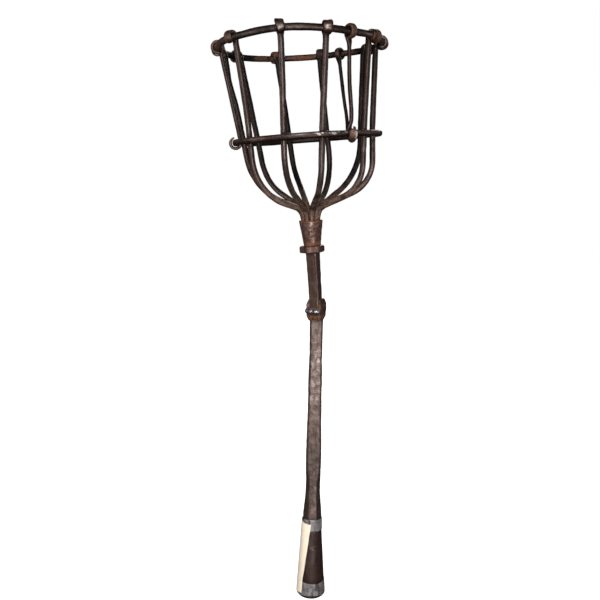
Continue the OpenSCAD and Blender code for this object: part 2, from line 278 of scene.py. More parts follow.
def swept(path, half_w, half_t, power, side, at=-1, m=28, round_ends=(1.2, 1.2), shaper=None, closed=False):
    """A forged rod: a rounded section carried along a path.

    Returns vertices, faces, the straightened coordinates (along, across, through), the outward
    direction of each vertex, and the angle of each round the section."""
    n = len(path)
    t = tangents(path)
    if closed:
        t = np.roll(path, -1, 0) - np.roll(path, 1, 0)
        t /= np.linalg.norm(t, axis=1)[:, None]
    b = carry(t, at % n, side) if np.ndim(side) == 1 else side
    nn = np.cross(t, b)
    d = np.r_[0, np.cumsum(np.linalg.norm(np.diff(path, axis=0), axis=1))]
    theta = 2 * np.pi * np.arange(m) / m
    c, s = np.cos(theta), np.sin(theta)
    P, A, Bv, Nv, pw, along = [path], [half_w], [b], [nn], [power], [d]
    if not closed:
        for end, cap in ((0, round_ends[0]), (-1, round_ends[1])):
            steps = [0.35, 0.65, 0.86, 0.97]
            pts = [path[end] + t[end] * cap * q * (1 if end else -1) for q in steps]
            sc = [math.sqrt(1 - q * q) for q in steps]
            if end == 0:
                pts, sc = pts[::-1], sc[::-1]
            k = len(pts)
            block = (
                np.array(pts),
                np.full(k, half_w[end]) * sc,
                np.full(k, half_t[end]) * sc,
                np.full(k, power[end]),
                np.repeat(b[end][None], k, 0),
                np.repeat(nn[end][None], k, 0),
                np.full(k, d[end]) + (np.array(steps) * cap if end else -np.array(steps[::-1]) * cap),
            )
            if end == 0:
                path = np.vstack([block[0], path])
                half_w = np.r_[block[1], half_w]
                half_t = np.r_[block[2], half_t]
                power = np.r_[block[3], power]
                b = np.vstack([block[4], b])
                nn = np.vstack([block[5], nn])
                d = np.r_[block[6], d]
                t = np.vstack([np.repeat(t[:1], k, 0), t])
            else:
                path = np.vstack([path, block[0]])
                half_w = np.r_[half_w, block[1]]
                half_t = np.r_[half_t, block[2]]
                power = np.r_[power, block[3]]
                b = np.vstack([b, block[4]])
                nn = np.vstack([nn, block[5]])
                d = np.r_[d, block[6]]
                t = np.vstack([t, np.repeat(t[-1:], k, 0)])
    n = len(path)
    e = 2.0 / power[:, None]
    X = half_w[:, None] * np.sign(c) * np.abs(c) ** e
    Y = half_t[:, None] * np.sign(s) * np.abs(s) ** e
    out = X[..., None] * b[:, None] + Y[..., None] * nn[:, None]
    length = np.linalg.norm(out, axis=2, keepdims=True) + 1e-9
    outward = out / length
    V = path[:, None] + out
    flow = np.stack([np.repeat(d[:, None], m, 1), X, Y], 2)
    V, outward, flow = V.reshape(-1, 3), outward.reshape(-1, 3), flow.reshape(-1, 3)
    around = np.tile(theta, n)
    if shaper is not None:
        V = shaper(V, outward, flow, around)
    faces = tube_faces(n, m, closed=closed)
    if not closed:
        i0, i1 = len(V), len(V) + 1
        V = np.vstack([V, V[:m].mean(0), V[(n - 1) * m : n * m].mean(0)])
        flow = np.vstack([flow, flow[:m].mean(0), flow[(n - 1) * m : n * m].mean(0)])
        outward = np.vstack([outward, -t[0], t[-1]])
        around = np.r_[around, 0, 0]
        for k in range(m):
            faces.append((i0, (k + 1) % m, k))
            faces.append((i1, (n - 1) * m + k, (n - 1) * m + (k + 1) % m))
    return V, faces, flow, outward, around


def lathe(zs, radius, m, top_rings=6, bottom_rings=6, cap_shape=None, turn=0.0, shift=None):
    """A closed solid whose radius is given at each height and azimuth: forged blocks, collars and shafts.

    radius(z, az) takes arrays and gives millimetres. Returns vertices, faces and each vertex's azimuth and height."""
    az = np.arange(m) * 360.0 / m
    Z, A = np.meshgrid(zs, az, indexing="ij")
    R = radius(Z.ravel(), A.ravel()).reshape(Z.shape)
    rings = [(R[i], np.full(m, zs[i])) for i in range(len(zs))]
    caps_low = [(R[0] * q, np.full(m, zs[0])) for q in np.linspace(0, 1, bottom_rings + 1)[1:-1]]
    caps_top = [(R[-1] * q, np.full(m, zs[-1])) for q in np.linspace(1, 0, top_rings + 1)[1:-1]]
    rings = caps_low + rings + caps_top
    V, az_of = [], []
    for r, z in rings:
        V.append(np.c_[r * sind(az), -r * cosd(az), z])
        az_of.append(az)
    n = len(rings)
    V = np.vstack(V)
    az_of = np.concatenate(az_of)
    faces = tube_faces(n, m)
    low, top = len(V), len(V) + 1
    V = np.vstack([V, [0, 0, zs[0]], [0, 0, zs[-1]]])
    az_of = np.r_[az_of, 0, 0]
    for k in range(m):
        faces.append((low, (k + 1) % m, k))
        faces.append((top, (n - 1) * m + k, (n - 1) * m + (k + 1) % m))
    if shift is not None:
        V[:, 1] += shift(V[:, 2])
    return V, faces, az_of


def joined(parts):
    """Several vertex and face lists as one."""
    V, F, o = [], [], 0
    for v, f in parts:
        V.append(v)
        F.extend([tuple(i + o for i in face) for face in f])
        o += len(v)
    return np.vstack(V), F


def octagon(az, wx, wy, cut, p):
    """Radius of a square bar with cut corners, its edges worn by the power p."""
    c, s = np.abs(sind(az)), np.abs(cosd(az))
    k = wx / 2 + wy / 2 - cut
    return ((c / (wx / 2)) ** p + (s / (wy / 2)) ** p + ((c + s) / k) ** p) ** (-1 / p)


def corner_ness(az, first=45.0, width=7.0):
    """1 on the corners of a square section, 0 on its faces."""
    d = (np.asarray(az) - first + 45) % 90 - 45
    return np.exp(-((d / width) ** 2))


# ---------------------------------------------------------------- materials


class Mat:
    """A material's node tree, written as short calls."""

    def __init__(self, name):
        self.m = bpy.data.materials.new(name)
        self.m.use_nodes = True
        self.t = self.m.node_tree
        self.t.nodes.clear()
        self.out = self.t.nodes.new("ShaderNodeOutputMaterial")
        self.flow = self.attr("flow", "Vector")

    def node(self, kind, **inputs):
        n = self.t.nodes.new(kind)
        for k, v in inputs.items():
            self.put(n.inputs[k.replace("_", " ")], v)
        return n

    def put(self, socket, v):
        if isinstance(v, bpy.types.NodeSocket):
            self.t.links.new(v, socket)
        else:
            socket.default_value = v

    def attr(self, name, out="Fac"):
        n = self.t.nodes.new("ShaderNodeAttribute")
        n.attribute_type = "GEOMETRY"
        n.attribute_name = name
        return n.outputs[out]

    def coords(self, scale=(1, 1, 1), flow=True, at=(0, 0, 0)):
        src = self.flow if flow else self.node("ShaderNodeTexCoord").outputs["Object"]
        n = self.node("ShaderNodeMapping")
        self.put(n.inputs["Vector"], src)
        n.inputs["Scale"].default_value = scale
        n.inputs["Location"].default_value = at
        return n.outputs["Vector"]

    def noise(self, scale, detail=3.0, rough=0.5, vec=None, distort=0.0):
        n = self.t.nodes.new("ShaderNodeTexNoise")
        self.put(n.inputs["Vector"], vec if vec is not None else self.coords())
        n.inputs["Scale"].default_value = scale
        n.inputs["Detail"].default_value = detail
        n.inputs["Roughness"].default_value = rough
        n.inputs["Distortion"].default_value = distort
        return n.outputs["Fac"]

    def cells(self, scale, vec=None, feature="F1", out="Distance", rand=1.0):
        n = self.t.nodes.new("ShaderNodeTexVoronoi")
        n.feature = feature
        self.put(n.inputs["Vector"], vec if vec is not None else self.coords())
        n.inputs["Scale"].default_value = scale
        n.inputs["Randomness"].default_value = rand
        return n.outputs[out]

    def math(self, op, a, b=0.0, clamp=False):
        n = self.t.nodes.new("ShaderNodeMath")
        n.operation = op
        n.use_clamp = clamp
        self.put(n.inputs[0], a)
        self.put(n.inputs[1], b)
        return n.outputs[0]

    def span(self, v, a, b, c=0.0, d=1.0, smoothed=True):
        n = self.t.nodes.new("ShaderNodeMapRange")
        n.interpolation_type = "SMOOTHSTEP" if smoothed else "LINEAR"
        for k, x in zip(("Value", "From Min", "From Max", "To Min", "To Max"), (v, a, b, c, d)):
            self.put(n.inputs[k], x)
        return n.outputs["Result"]

    def mix(self, f, a, b, blend="MIX"):
        n = self.t.nodes.new("ShaderNodeMix")
        n.data_type = "RGBA"
        n.blend_type = blend
        self.put(n.inputs["Factor"], f)
        for key, v in (("A", a), ("B", b)):
            s = [i for i in n.inputs if i.name == key and i.type == "RGBA"][0]
            self.put(s, v if isinstance(v, bpy.types.NodeSocket) else (*v, 1.0))
        return [o for o in n.outputs if o.type == "RGBA"][0]

    def bump(self, height, distance, strength=1.0, normal=None):
        n = self.t.nodes.new("ShaderNodeBump")
        n.inputs["Strength"].default_value = strength
        n.inputs["Distance"].default_value = distance
        self.put(n.inputs["Height"], height)
        if normal is not None:
            self.put(n.inputs["Normal"], normal)
        return n.outputs["Normal"]

    def finish(self, color, rough, normal, metallic=0.0, ior=1.6, **more):
        b = self.t.nodes.new("ShaderNodeBsdfPrincipled")
        self.put(b.inputs["Base Color"], color)
        self.put(b.inputs["Roughness"], rough)
        self.put(b.inputs["Metallic"], metallic)
        b.inputs["IOR"].default_value = ior
        if normal is not None:
            self.put(b.inputs["Normal"], normal)
        for k, v in more.items():
            self.put(b.inputs[k.replace("_", " ")], v)
        self.t.links.new(b.outputs[0], self.out.inputs["Surface"])
        return self.m


def iron(name, dark, light, worn, rust_dark, rust_light, rough=(0.36, 0.55), pits=1.0, metallic=0.25, ior=1.75, mottling=0.5, stretch=0.3):
    """Old forged iron: black scale, high spots worn bright, brown bloom and patches of rust.

    The mesh gives six masks: rust, worn edges with painted highlights, dark recesses with painted shade, a brown bloom,
    an earthy film with painted light, and painted glints."""
    m = Mat(name)
    long = m.coords((stretch, 1, 1))
    plain = m.coords()
    broad = m.noise(55, 3, 0.55, long)
    mid = m.noise(210, 4, 0.6, long, 0.3)
    fine = m.noise(900, 3, 0.6, plain)
    speck = m.noise(2200, 2, 0.5, plain)
    tone = m.math("ADD", m.math("MULTIPLY", broad, 0.5), m.math("MULTIPLY", mid, 0.5))
    tone = m.span(tone, 0.5 - 0.22 / max(mottling, 0.05) * 0.5, 0.5 + 0.22 / max(mottling, 0.05) * 0.5)
    color = m.mix(tone, dark, light)
    color = m.mix(m.math("MULTIPLY", m.span(fine, 0.42, 0.7), 0.35), color, worn)
    # brown bloom
    bloom = m.math("MULTIPLY", m.attr("bloom"), m.span(m.noise(120, 3, 0.6, long), 0.3, 0.62), True)
    color = m.mix(bloom, color, rust_dark)
    # an earthy film; in places the same mask is painted light on lit sides, and a painted glint
    earthy_film_and_light = m.math("MULTIPLY", m.attr("tan"), m.span(mid, 0.2, 0.65), True)
    color = m.mix(earthy_film_and_light, color, (0.1914, 0.1206, 0.0858))
    # worn edges and high spots, and painted highlights on faces marked as lit
    wear_and_highlight = m.math("MULTIPLY", m.attr("wear_and_highlight"), m.span(mid, 0.35, 0.65, 0.25, 1.0), True)
    color = m.mix(wear_and_highlight, color, worn)
    # soot in the recesses and on the faces turned to the fire, and painted shade on shaded sides, undersides and far
    # parts
    soot_and_shade = m.math("MULTIPLY", m.attr("soot_and_shade"), m.span(broad, 0.25, 0.6, 0.5, 1.1), True)
    color = m.mix(soot_and_shade, color, (dark[0] * 0.3, dark[1] * 0.3, dark[2] * 0.3))
    # rust that has broken through
    edge = m.math("ADD", m.math("MULTIPLY", m.noise(330, 4, 0.62, plain, 0.6), 0.7), m.math("MULTIPLY", fine, 0.3))
    rusty = m.math("ADD", m.attr("rust"), m.math("SUBTRACT", edge, 0.5))
    rusty = m.span(rusty, 0.42, 0.62)
    rust_color = m.mix(m.span(m.noise(600, 3, 0.6, plain), 0.35, 0.68), rust_dark, rust_light)
    # rust darkened by the same mask, so the painted shade covers rust too
    rust_color = m.mix(m.math("MULTIPLY", m.attr("soot_and_shade"), 0.75), rust_color, (0.022, 0.0085, 0.005))
    color = m.mix(rusty, color, rust_color)
    # painted glints: near-white spots standing in for highlights
    painted_glint = m.math("MULTIPLY", m.attr("painted_glint"), m.span(fine, 0.30, 0.52, 0.35, 1.0), True)
    color = m.mix(painted_glint, color, (0.72, 0.66, 0.64))
    # gloss
    r = m.span(tone, 0.0, 1.0, rough[1], rough[0], False)
    r = m.math("ADD", r, m.math("MULTIPLY", m.math("SUBTRACT", fine, 0.5), 0.25))
    r = m.math("SUBTRACT", r, m.math("MULTIPLY", wear_and_highlight, 0.10))
    r = m.math("MAXIMUM", r, m.math("MULTIPLY", rusty, 0.82), True)
    r = m.math("MAXIMUM", r, m.math("MULTIPLY", soot_and_shade, 0.62), True)
    # relief: forging marks, scale, pits
    pit = m.span(m.cells(520, plain), 0.0, 0.34)
    pitted = m.math("MULTIPLY", m.math("SUBTRACT", 1.0, pit), m.span(m.noise(150, 2, 0.5, plain), 0.48, 0.66))
    h = m.math("ADD", m.math("MULTIPLY", mid, 0.9), m.math("MULTIPLY", fine, 0.34))
    h = m.math("ADD", h, m.math("MULTIPLY", speck, 0.12))
    h = m.math("SUBTRACT", h, m.math("MULTIPLY", pitted, 0.5 * pits))
    h = m.math("ADD", h, m.math("MULTIPLY", rusty, 0.35))
    normal = m.bump(h, 0.00042, 0.8)
    metal = m.math("MULTIPLY", m.math("SUBTRACT", 1.0, rusty), metallic, True)
    metal = m.math("MULTIPLY", metal, m.math("SUBTRACT", 1.0, m.math("MULTIPLY", earthy_film_and_light, 0.8)), True)
    return m.finish(color, r, normal, metal, ior)


IRON = iron("iron_scale", (0.020, 0.0115, 0.0100), (0.058, 0.0395, 0.0365), (0.180, 0.145, 0.137), (0.042, 0.0145, 0.007), (0.155, 0.049, 0.0115), rough=(0.34, 0.50), metallic=0.75, ior=1.5)
IRON_SMOOTH = iron("iron_socket", (0.024, 0.0105, 0.0085), (0.050, 0.026, 0.022), (0.150, 0.108, 0.103), (0.045, 0.018, 0.010), (0.16, 0.055, 0.02), rough=(0.36, 0.48), pits=0.25, metallic=0.55, ior=1.5)
IRON_STEM = iron("iron_stem", (0.030, 0.0125, 0.0090), (0.082, 0.046, 0.037), (0.19, 0.135, 0.120), (0.070, 0.028, 0.013), (0.22, 0.080, 0.026), rough=(0.40, 0.56), metallic=0.55, ior=1.5)
IRON_CUP = iron("iron_cup", (0.050, 0.017, 0.010), (0.118, 0.060, 0.046), (0.34, 0.25, 0.23), (0.075, 0.026, 0.011), (0.21, 0.075, 0.024), rough=(0.34, 0.56), metallic=0.5, ior=1.5, mottling=0.8)
IRON_SHAFT = iron("iron_shaft", (0.052, 0.034, 0.029), (0.094, 0.065, 0.057), (0.200, 0.158, 0.147), (0.062, 0.028, 0.016), (0.15, 0.065, 0.03), rough=(0.38, 0.56), pits=1.6, metallic=0.6, ior=1.5, mottling=0.9)
BAND = iron("band_metal", (0.115, 0.108, 0.112), (0.285, 0.262, 0.272), (0.49, 0.46, 0.475), (0.07, 0.045, 0.036), (0.14, 0.08, 0.05), rough=(0.38, 0.55), pits=0.8, metallic=0.5, ior=1.6, mottling=0.9)
BEAD = iron("iron_bead", (0.018, 0.014, 0.022), (0.050, 0.044, 0.058), (0.75, 0.72, 0.78), (0.05, 0.020, 0.012), (0.18, 0.06, 0.02), rough=(0.24, 0.40), metallic=0.7, ior=1.6)


def paper():
    m = Mat("paper_strip")
    plain = m.coords()
    fibre = m.noise(700, 5, 0.65, m.coords((1, 0.35, 1)))
    cloud = m.noise(45, 3, 0.55, plain)
    stain = m.span(m.noise(90, 4, 0.6, plain), 0.5, 0.72)
    color = m.mix(cloud, (0.95, 0.83, 0.64), (0.97, 0.90, 0.74))
    # the part of the strip round the left side painted paler and pinker: painted shade
    color = m.mix(m.math("MULTIPLY", m.attr("shaded_side_tint"), 0.85), color, (0.93, 0.84, 0.74))
    color = m.mix(m.math("MULTIPLY", stain, 0.22), color, (0.62, 0.45, 0.27))
    # the front edge painted brighter: a painted highlight
    color = m.mix(m.math("MULTIPLY", m.attr("edge"), 0.8), color, (0.93, 0.90, 0.83))
    color = m.mix(m.math("MULTIPLY", m.span(fibre, 0.45, 0.75), 0.16), color, (0.70, 0.56, 0.38))
    h = m.math("ADD", m.math("MULTIPLY", fibre, 0.4), m.math("MULTIPLY", m.noise(160, 2, 0.5, plain), 1.0))
    return m.finish(color, m.span(fibre, 0.2, 0.8, 0.72, 0.9, False), m.bump(h, 0.00018, 0.5), 0.0, 1.45)


PAPER = paper()

# ---------------------------------------------------------------- basket bars


def bar_path(b):
    """Middle of a bar in the basket's own frame, before the lean: tail, foot, slope, belly, waist,
    flare and upper length, with where the slope starts and the slope's length."""
    th, r1, a1, a2, az = b[3], b[4], b[5], b[6], b[2]
    p0 = pol(FOOT_R, b[0])
    eye_z = RING_Z + ring_dz(az)
    t = pol(RING_R - EYE_OFF * cosd(a2) - 6 * sind(a2), az) - p0
    h = eye_z + EYE_OFF * sind(a2) - 6 * cosd(a2) - FOOT_Z
    u = pol(1, b[1])
    tx, yt = t @ u, u[0] * t[1] - u[1] * t[0]
    tz = math.hypot(h, yt)
    fx = KICK_R * (1 - cosd(th)) + r1 * (cosd(a1) - cosd(th)) + WAIST * sind(a1) + FLARE_R * (cosd(a1) - cosd(a2))
    fz = KICK_R * sind(th) + r1 * (sind(th) - sind(a1)) + WAIST * cosd(a1) + FLARE_R * (sind(a2) - sind(a1))
    det = sind(th) * cosd(a2) - sind(a2) * cosd(th)
    s1 = ((tx - fx) * cosd(a2) - sind(a2) * (tz - fz)) / det
    s2 = (sind(th) * (tz - fz) - cosd(th) * (tx - fx)) / det
    pts = [(0.0, 0.0)]

    def arc(rad, fro, to, outward, n):
        x, z = pts[-1]
        for a in np.linspace(fro, to, n)[1:]:
            dx = rad * (cosd(fro) - cosd(a)) * outward
            dz = rad * (sind(a) - sind(fro)) * outward
            pts.append((x + dx, z + dz))

    def line(length, a, n=20):
        x, z = pts[-1]
        for q in np.linspace(0, length, n)[1:]:
            pts.append((x + q * sind(a), z + q * cosd(a)))

    arc(KICK_R, 0, th, 1, 24)
    slope_from = KICK_R * math.radians(th)
    line(s1, th)
    arc(r1, th, a1, -1, 60)
    line(WAIST, a1)
    arc(FLARE_R, a1, a2, 1, 30)
    line(s2 - 7.0, a2)
    q = np.array([(x, 0, z) for x, z in pts])
    P = rz(rx(q, -math.degrees(math.atan2(yt, h))), b[1] - 90) + p0 + [0, 0, FOOT_Z]
    tail = [rz([[-sind(TAIL_LEAN) * k, 0, -cosd(TAIL_LEAN) * k]], b[0] - 90)[0] + p0 + [0, 0, FOOT_Z] for k in np.linspace(TAIL_LEN, 0, 20)[:-1]]
    P = np.vstack([tail, P])
    return P, slope_from, s1


def eye_frame(p, b):
    """From the eye's own frame, X outwards and Z up about the ring's rod, to the basket's frame."""
    az = b[2]
    return rz(ry(p, b[6]), az - 90) + pol(RING_R, az) + [0, 0, RING_Z + ring_dz(az)]


def make_bar(k):
    b, (drift, share, wide, saddle, ride_up, outer) = BARS[k], EYES[k]
    step = 1.3
    lower, slope_from, s1 = bar_path(b)
    off = {3: 2.2, 4: 0.9, 6: -0.8}.get(k, 0.0)
    lower = lower + (off * smooth(lower[:, 2], 650, 740))[:, None] * [cosd(b[2]), sind(b[2]), 0]
    # the rolled eye: from the inner side over the top, down the outside and back under
    alpha = np.linspace(180, 180 - 285 * share, 90)
    q = (180 - alpha) / 285.0

    def rolled(q_, al_):
        ht_ = 2.25 * (1 - (1 - outer) * smooth(q_, 0.3, 0.6)) - 0.75 * smooth(q_, 0.72, 1.0)
        c_ = RING_D / 2 + 0.1 + ht_
        lift = ride_up * smooth(q_, 0.05, 0.25) * (1 - 0.35 * smooth(q_, 0.6, 1.0))
        return np.c_[c_ * cosd(al_), off + drift * smooth(q_, 0.12, 0.8), c_ * sind(al_) + lift]

    roll = rolled(q, alpha)
    roll = eye_frame(roll, b)
    n_roll = len(roll)
    path = np.vstack([lower, roll])
    path, s = even(path, step)
    soft = relax(path, 5.2, step)
    path = relax(path, 2.2, step)
    near_foot = (smooth(s, TAIL_LEN - 14, TAIL_LEN - 4) * (1 - smooth(s, TAIL_LEN + 20, TAIL_LEN + 32)))[:, None]
    path = path * (1 - near_foot) + soft * near_foot
    if k == 2:
        path = path + pol(1, b[2]) * (2.0 * np.exp(-(((path[:, 2] - 740) / 19.0) ** 2)))[:, None]
    # the relaxed roll would sink into the ring, so the last part is set back on its circle
    total = s[-1]
    roll_len = np.sum(np.linalg.norm(np.diff(roll, axis=0), axis=1))
    along = (s - (total - roll_len)) / roll_len
    qa = np.clip(along, 0, 1)
    al = 180 - 285 * share * qa
    exact = eye_frame(rolled((180 - al) / 285.0, al), b)
    w = smooth(along, -0.02, 0.16)[:, None]
    path = np.where(along[:, None] > -0.02, path * (1 - w) + exact * w, path)
    path = leaning(path)
    side = leaning(eye_frame(np.array([[0, 0, 0], [0, 1, 0]]), b))
    side = side[1] - side[0]
    # section: round bar, drawn down to a strap under the ring
    dist = s - (total - roll_len)
    to_strap = smooth(dist, -9.0, -1.0)
    foot = TAIL_LEN
    swell = smooth(s, foot + slope_from - 4, foot + slope_from + 0.35 * s1)
    r = FOOT_BAR_R + 0.35 + (BAR_R - FOOT_BAR_R - 0.35) * swell
    r = np.where(s < foot, 1.7 + (FOOT_BAR_R - 1.7) * np.clip(s / foot, 0, 1), r)
    lumps = 0.10 * noise(np.c_[s, s * 0, s * 0], 26, 40 + k) + 0.07 * noise(np.c_[s, s * 0, s * 0], 9, 60 + k)
    r = r + lumps * smooth(s, foot + 4, foot + 20)
    tip = smooth(along, 0.70, 1.0)
    half_w = r * (1 - to_strap) + (5.5 * wide - 1.3 * tip) * to_strap
    thick = 2.25 * (1 - (1 - outer) * smooth(along, 0.3, 0.6))
    half_th = r * (1 - to_strap) + (thick - 0.85 * tip) * to_strap
    power = 2.15 + 1.1 * to_strap
    at = int(np.argmin(np.abs(along - 0.05)))

    def shaper(V, out, flow, around):
        a = flow[:, 0]
        strap = smooth(a, total - roll_len - 6, total - roll_len)
        amp = 0.10 + 0.26 * strap
        V = V + out * (amp * fbm(V, 7.0, 7 + k, 2) + 0.05 * noise(V, 2.6, 9 + k))[:, None]
        # dents of the hammer, long flats on the bar
        ang = noise(np.c_[a / 22, a * 0 + k, a * 0], 1.0, 3 + k)
        flat = np.cos(around - ang * 4)
        V = V - out * (0.22 * smooth(flat, 0.80, 1.0) * (1 - strap))[:, None]
        # the saddle on top of the roll, and its uneven lip
        q_ = np.clip((a - (total - roll_len)) / roll_len, 0, 1)
        top = smooth(q_, 0.08, 0.25) * (1 - smooth(q_, 0.42, 0.58))
        mid = 1 - np.clip(np.abs(flow[:, 1]) / 5.0, 0, 1) ** 2
        V = V - out * (saddle * top * mid * (np.sin(around) > 0.1))[:, None]
        return V

    V, F, flow, out, around = swept(path, half_w, half_th, power, side, at, 30, (0.8, 0.9), shaper)
    a = flow[:, 0]
    strap = smooth(a, total - roll_len - 4, total - roll_len + 2)
    # masks: which way each spot faces, and where it sits
    base = (np.array([0.0, 0, 0]) + leaning([[0, 0, 700]]))[0]
    up = leaning([[0, 0, 1430]])[0] - leaning([[0, 0, 430]])[0]
    up /= np.linalg.norm(up)
    axis_pt = leaning([[0, 0, 430]])[0]
    rel = V - axis_pt
    rel = rel - (rel @ up)[:, None] * up
    radial = rel / (np.linalg.norm(rel, axis=1)[:, None] + 1e-6)
    inward = -(out * radial).sum(1)
    z = V[:, 2]
    soot_and_shade = 0.85 * smooth(inward, -0.25, 0.6) * smooth(z, 575, 610) * (1 - 0.7 * strap)
    # the far bars painted darker: painted shade
    back = smooth(V[:, 1], -30, 70)
    soot_and_shade = np.clip(soot_and_shade + 0.25 * back * (1 - strap), 0, 1)
    az = math.radians(b[2])
    right = max(0.0, math.sin(az)) ** 1.5
    bloom = 0.30 + 0.35 * right * smooth(z, 600, 700) + 0.25 * strap
    # the right-hand bars painted darker: painted shade; the eye straps a little darker too
    soot_and_shade = np.clip(soot_and_shade + 0.35 * right * smooth(z, 600, 680) + 0.12 * strap, 0, 1)
    glow = noise(V, 6, 50 + k)
    tan = (1 - smooth(z, 572, 622)) * (0.95 + 0.6 * glow).clip(0, 1)
    tan = tan + (0.4, 0.4, 0.85, 0.65, 0.15, 0.25, 0.5, 0.6, 0.35, 0.3)[k] * strap * (0.7 + 0.6 * glow).clip(0, 1)
    tan = tan + (0.1, 0.1, 0.35, 0.25, 0.0, 0.0, 0.5, 0.6, 0.3, 0.1)[k] * (1 - strap) * (1 - smooth(z, 645, 690)) * (0.6 + 0.9 * glow).clip(0, 1)
    # a light band on the outer face of two bars near their feet: a painted glint
    if k in (2, 3):
        tan = tan + 0.8 * np.exp(-(((z - 573) / 4.0) ** 2)) * smooth(-inward, -0.2, 0.6)
    rust = 0.10 + 0.10 * strap + 0.44 * (1 - smooth(z, 558, 572)) + 0.12 * smooth(z, 560, 575) * (1 - smooth(z, 580, 600))
    if k == 0:
        rust = rust + 0.45 * strap
    if k in (2, 3, 6):
        rust = rust + {2: 0.20, 3: 0.27, 6: 0.20}[k] * strap * (0.8 + 0.6 * noise(V, 5, 18)).clip(0, 1.2)
    if k in (6, 8):
        rust = rust + 0.12 * strap
        bloom = bloom + 0.3 * strap
    wear_and_highlight = 0.25 * (1 - strap) * smooth(-inward, 0.2, 0.9)
    if k in (4, 5):
        # a painted glint on the outside of the two front eyes
        q_ = np.clip((a - (total - roll_len)) / roll_len, 0, 1)
        side_at, half = (-0.6, 3.2) if k == 4 else (-1.0, 1.9)
        painted_glint = strap * np.exp(-(((q_ - (0.685 if k == 4 else 0.625)) / 0.042) ** 2)) * np.exp(-(((flow[:, 1] - side_at) / half) ** 4))
        painted_glint = painted_glint * (0.9 + 0.8 * noise(V, 1.6, 19)).clip(0, 1)
        soot_and_shade = soot_and_shade * (1 - painted_glint)
    elif k in (2, 7):
        # fainter painted glints low on two other eyes
        q_ = np.clip((a - (total - roll_len)) / roll_len, 0, 1)
        painted_glint = 0.3 * strap * np.exp(-(((q_ - 0.86) / 0.05) ** 2)) * (0.5 + 0.9 * noise(V, 2.2, 19)).clip(0, 1)
    else:
        painted_glint = 0.0 * strap
    mesh_piece(
        "bar_%02d_forged" % (k + 1), V, F, "frame", ["bar_%02d" % (k + 1)], IRON,
        {"flow": flow * 0.001 + [0.37 * k, 0.11 * k, 0], "soot_and_shade": soot_and_shade, "bloom": bloom, "rust": rust, "wear_and_highlight": np.clip(wear_and_highlight, 0, 1), "tan": np.clip(tan, 0, 1), "painted_glint": painted_glint},
    )


for k in range(10):
    make_bar(k)

# ---------------------------------------------------------------- ring, hoop and hangers


def window(az, centres, width):
    """0 at the given azimuths, 1 away from them."""
    w = np.ones_like(az)
    for c in centres:
        d = np.abs((az - c + 180) % 360 - 180)
        w = w * smooth(d, width * 0.5, width)
    return w


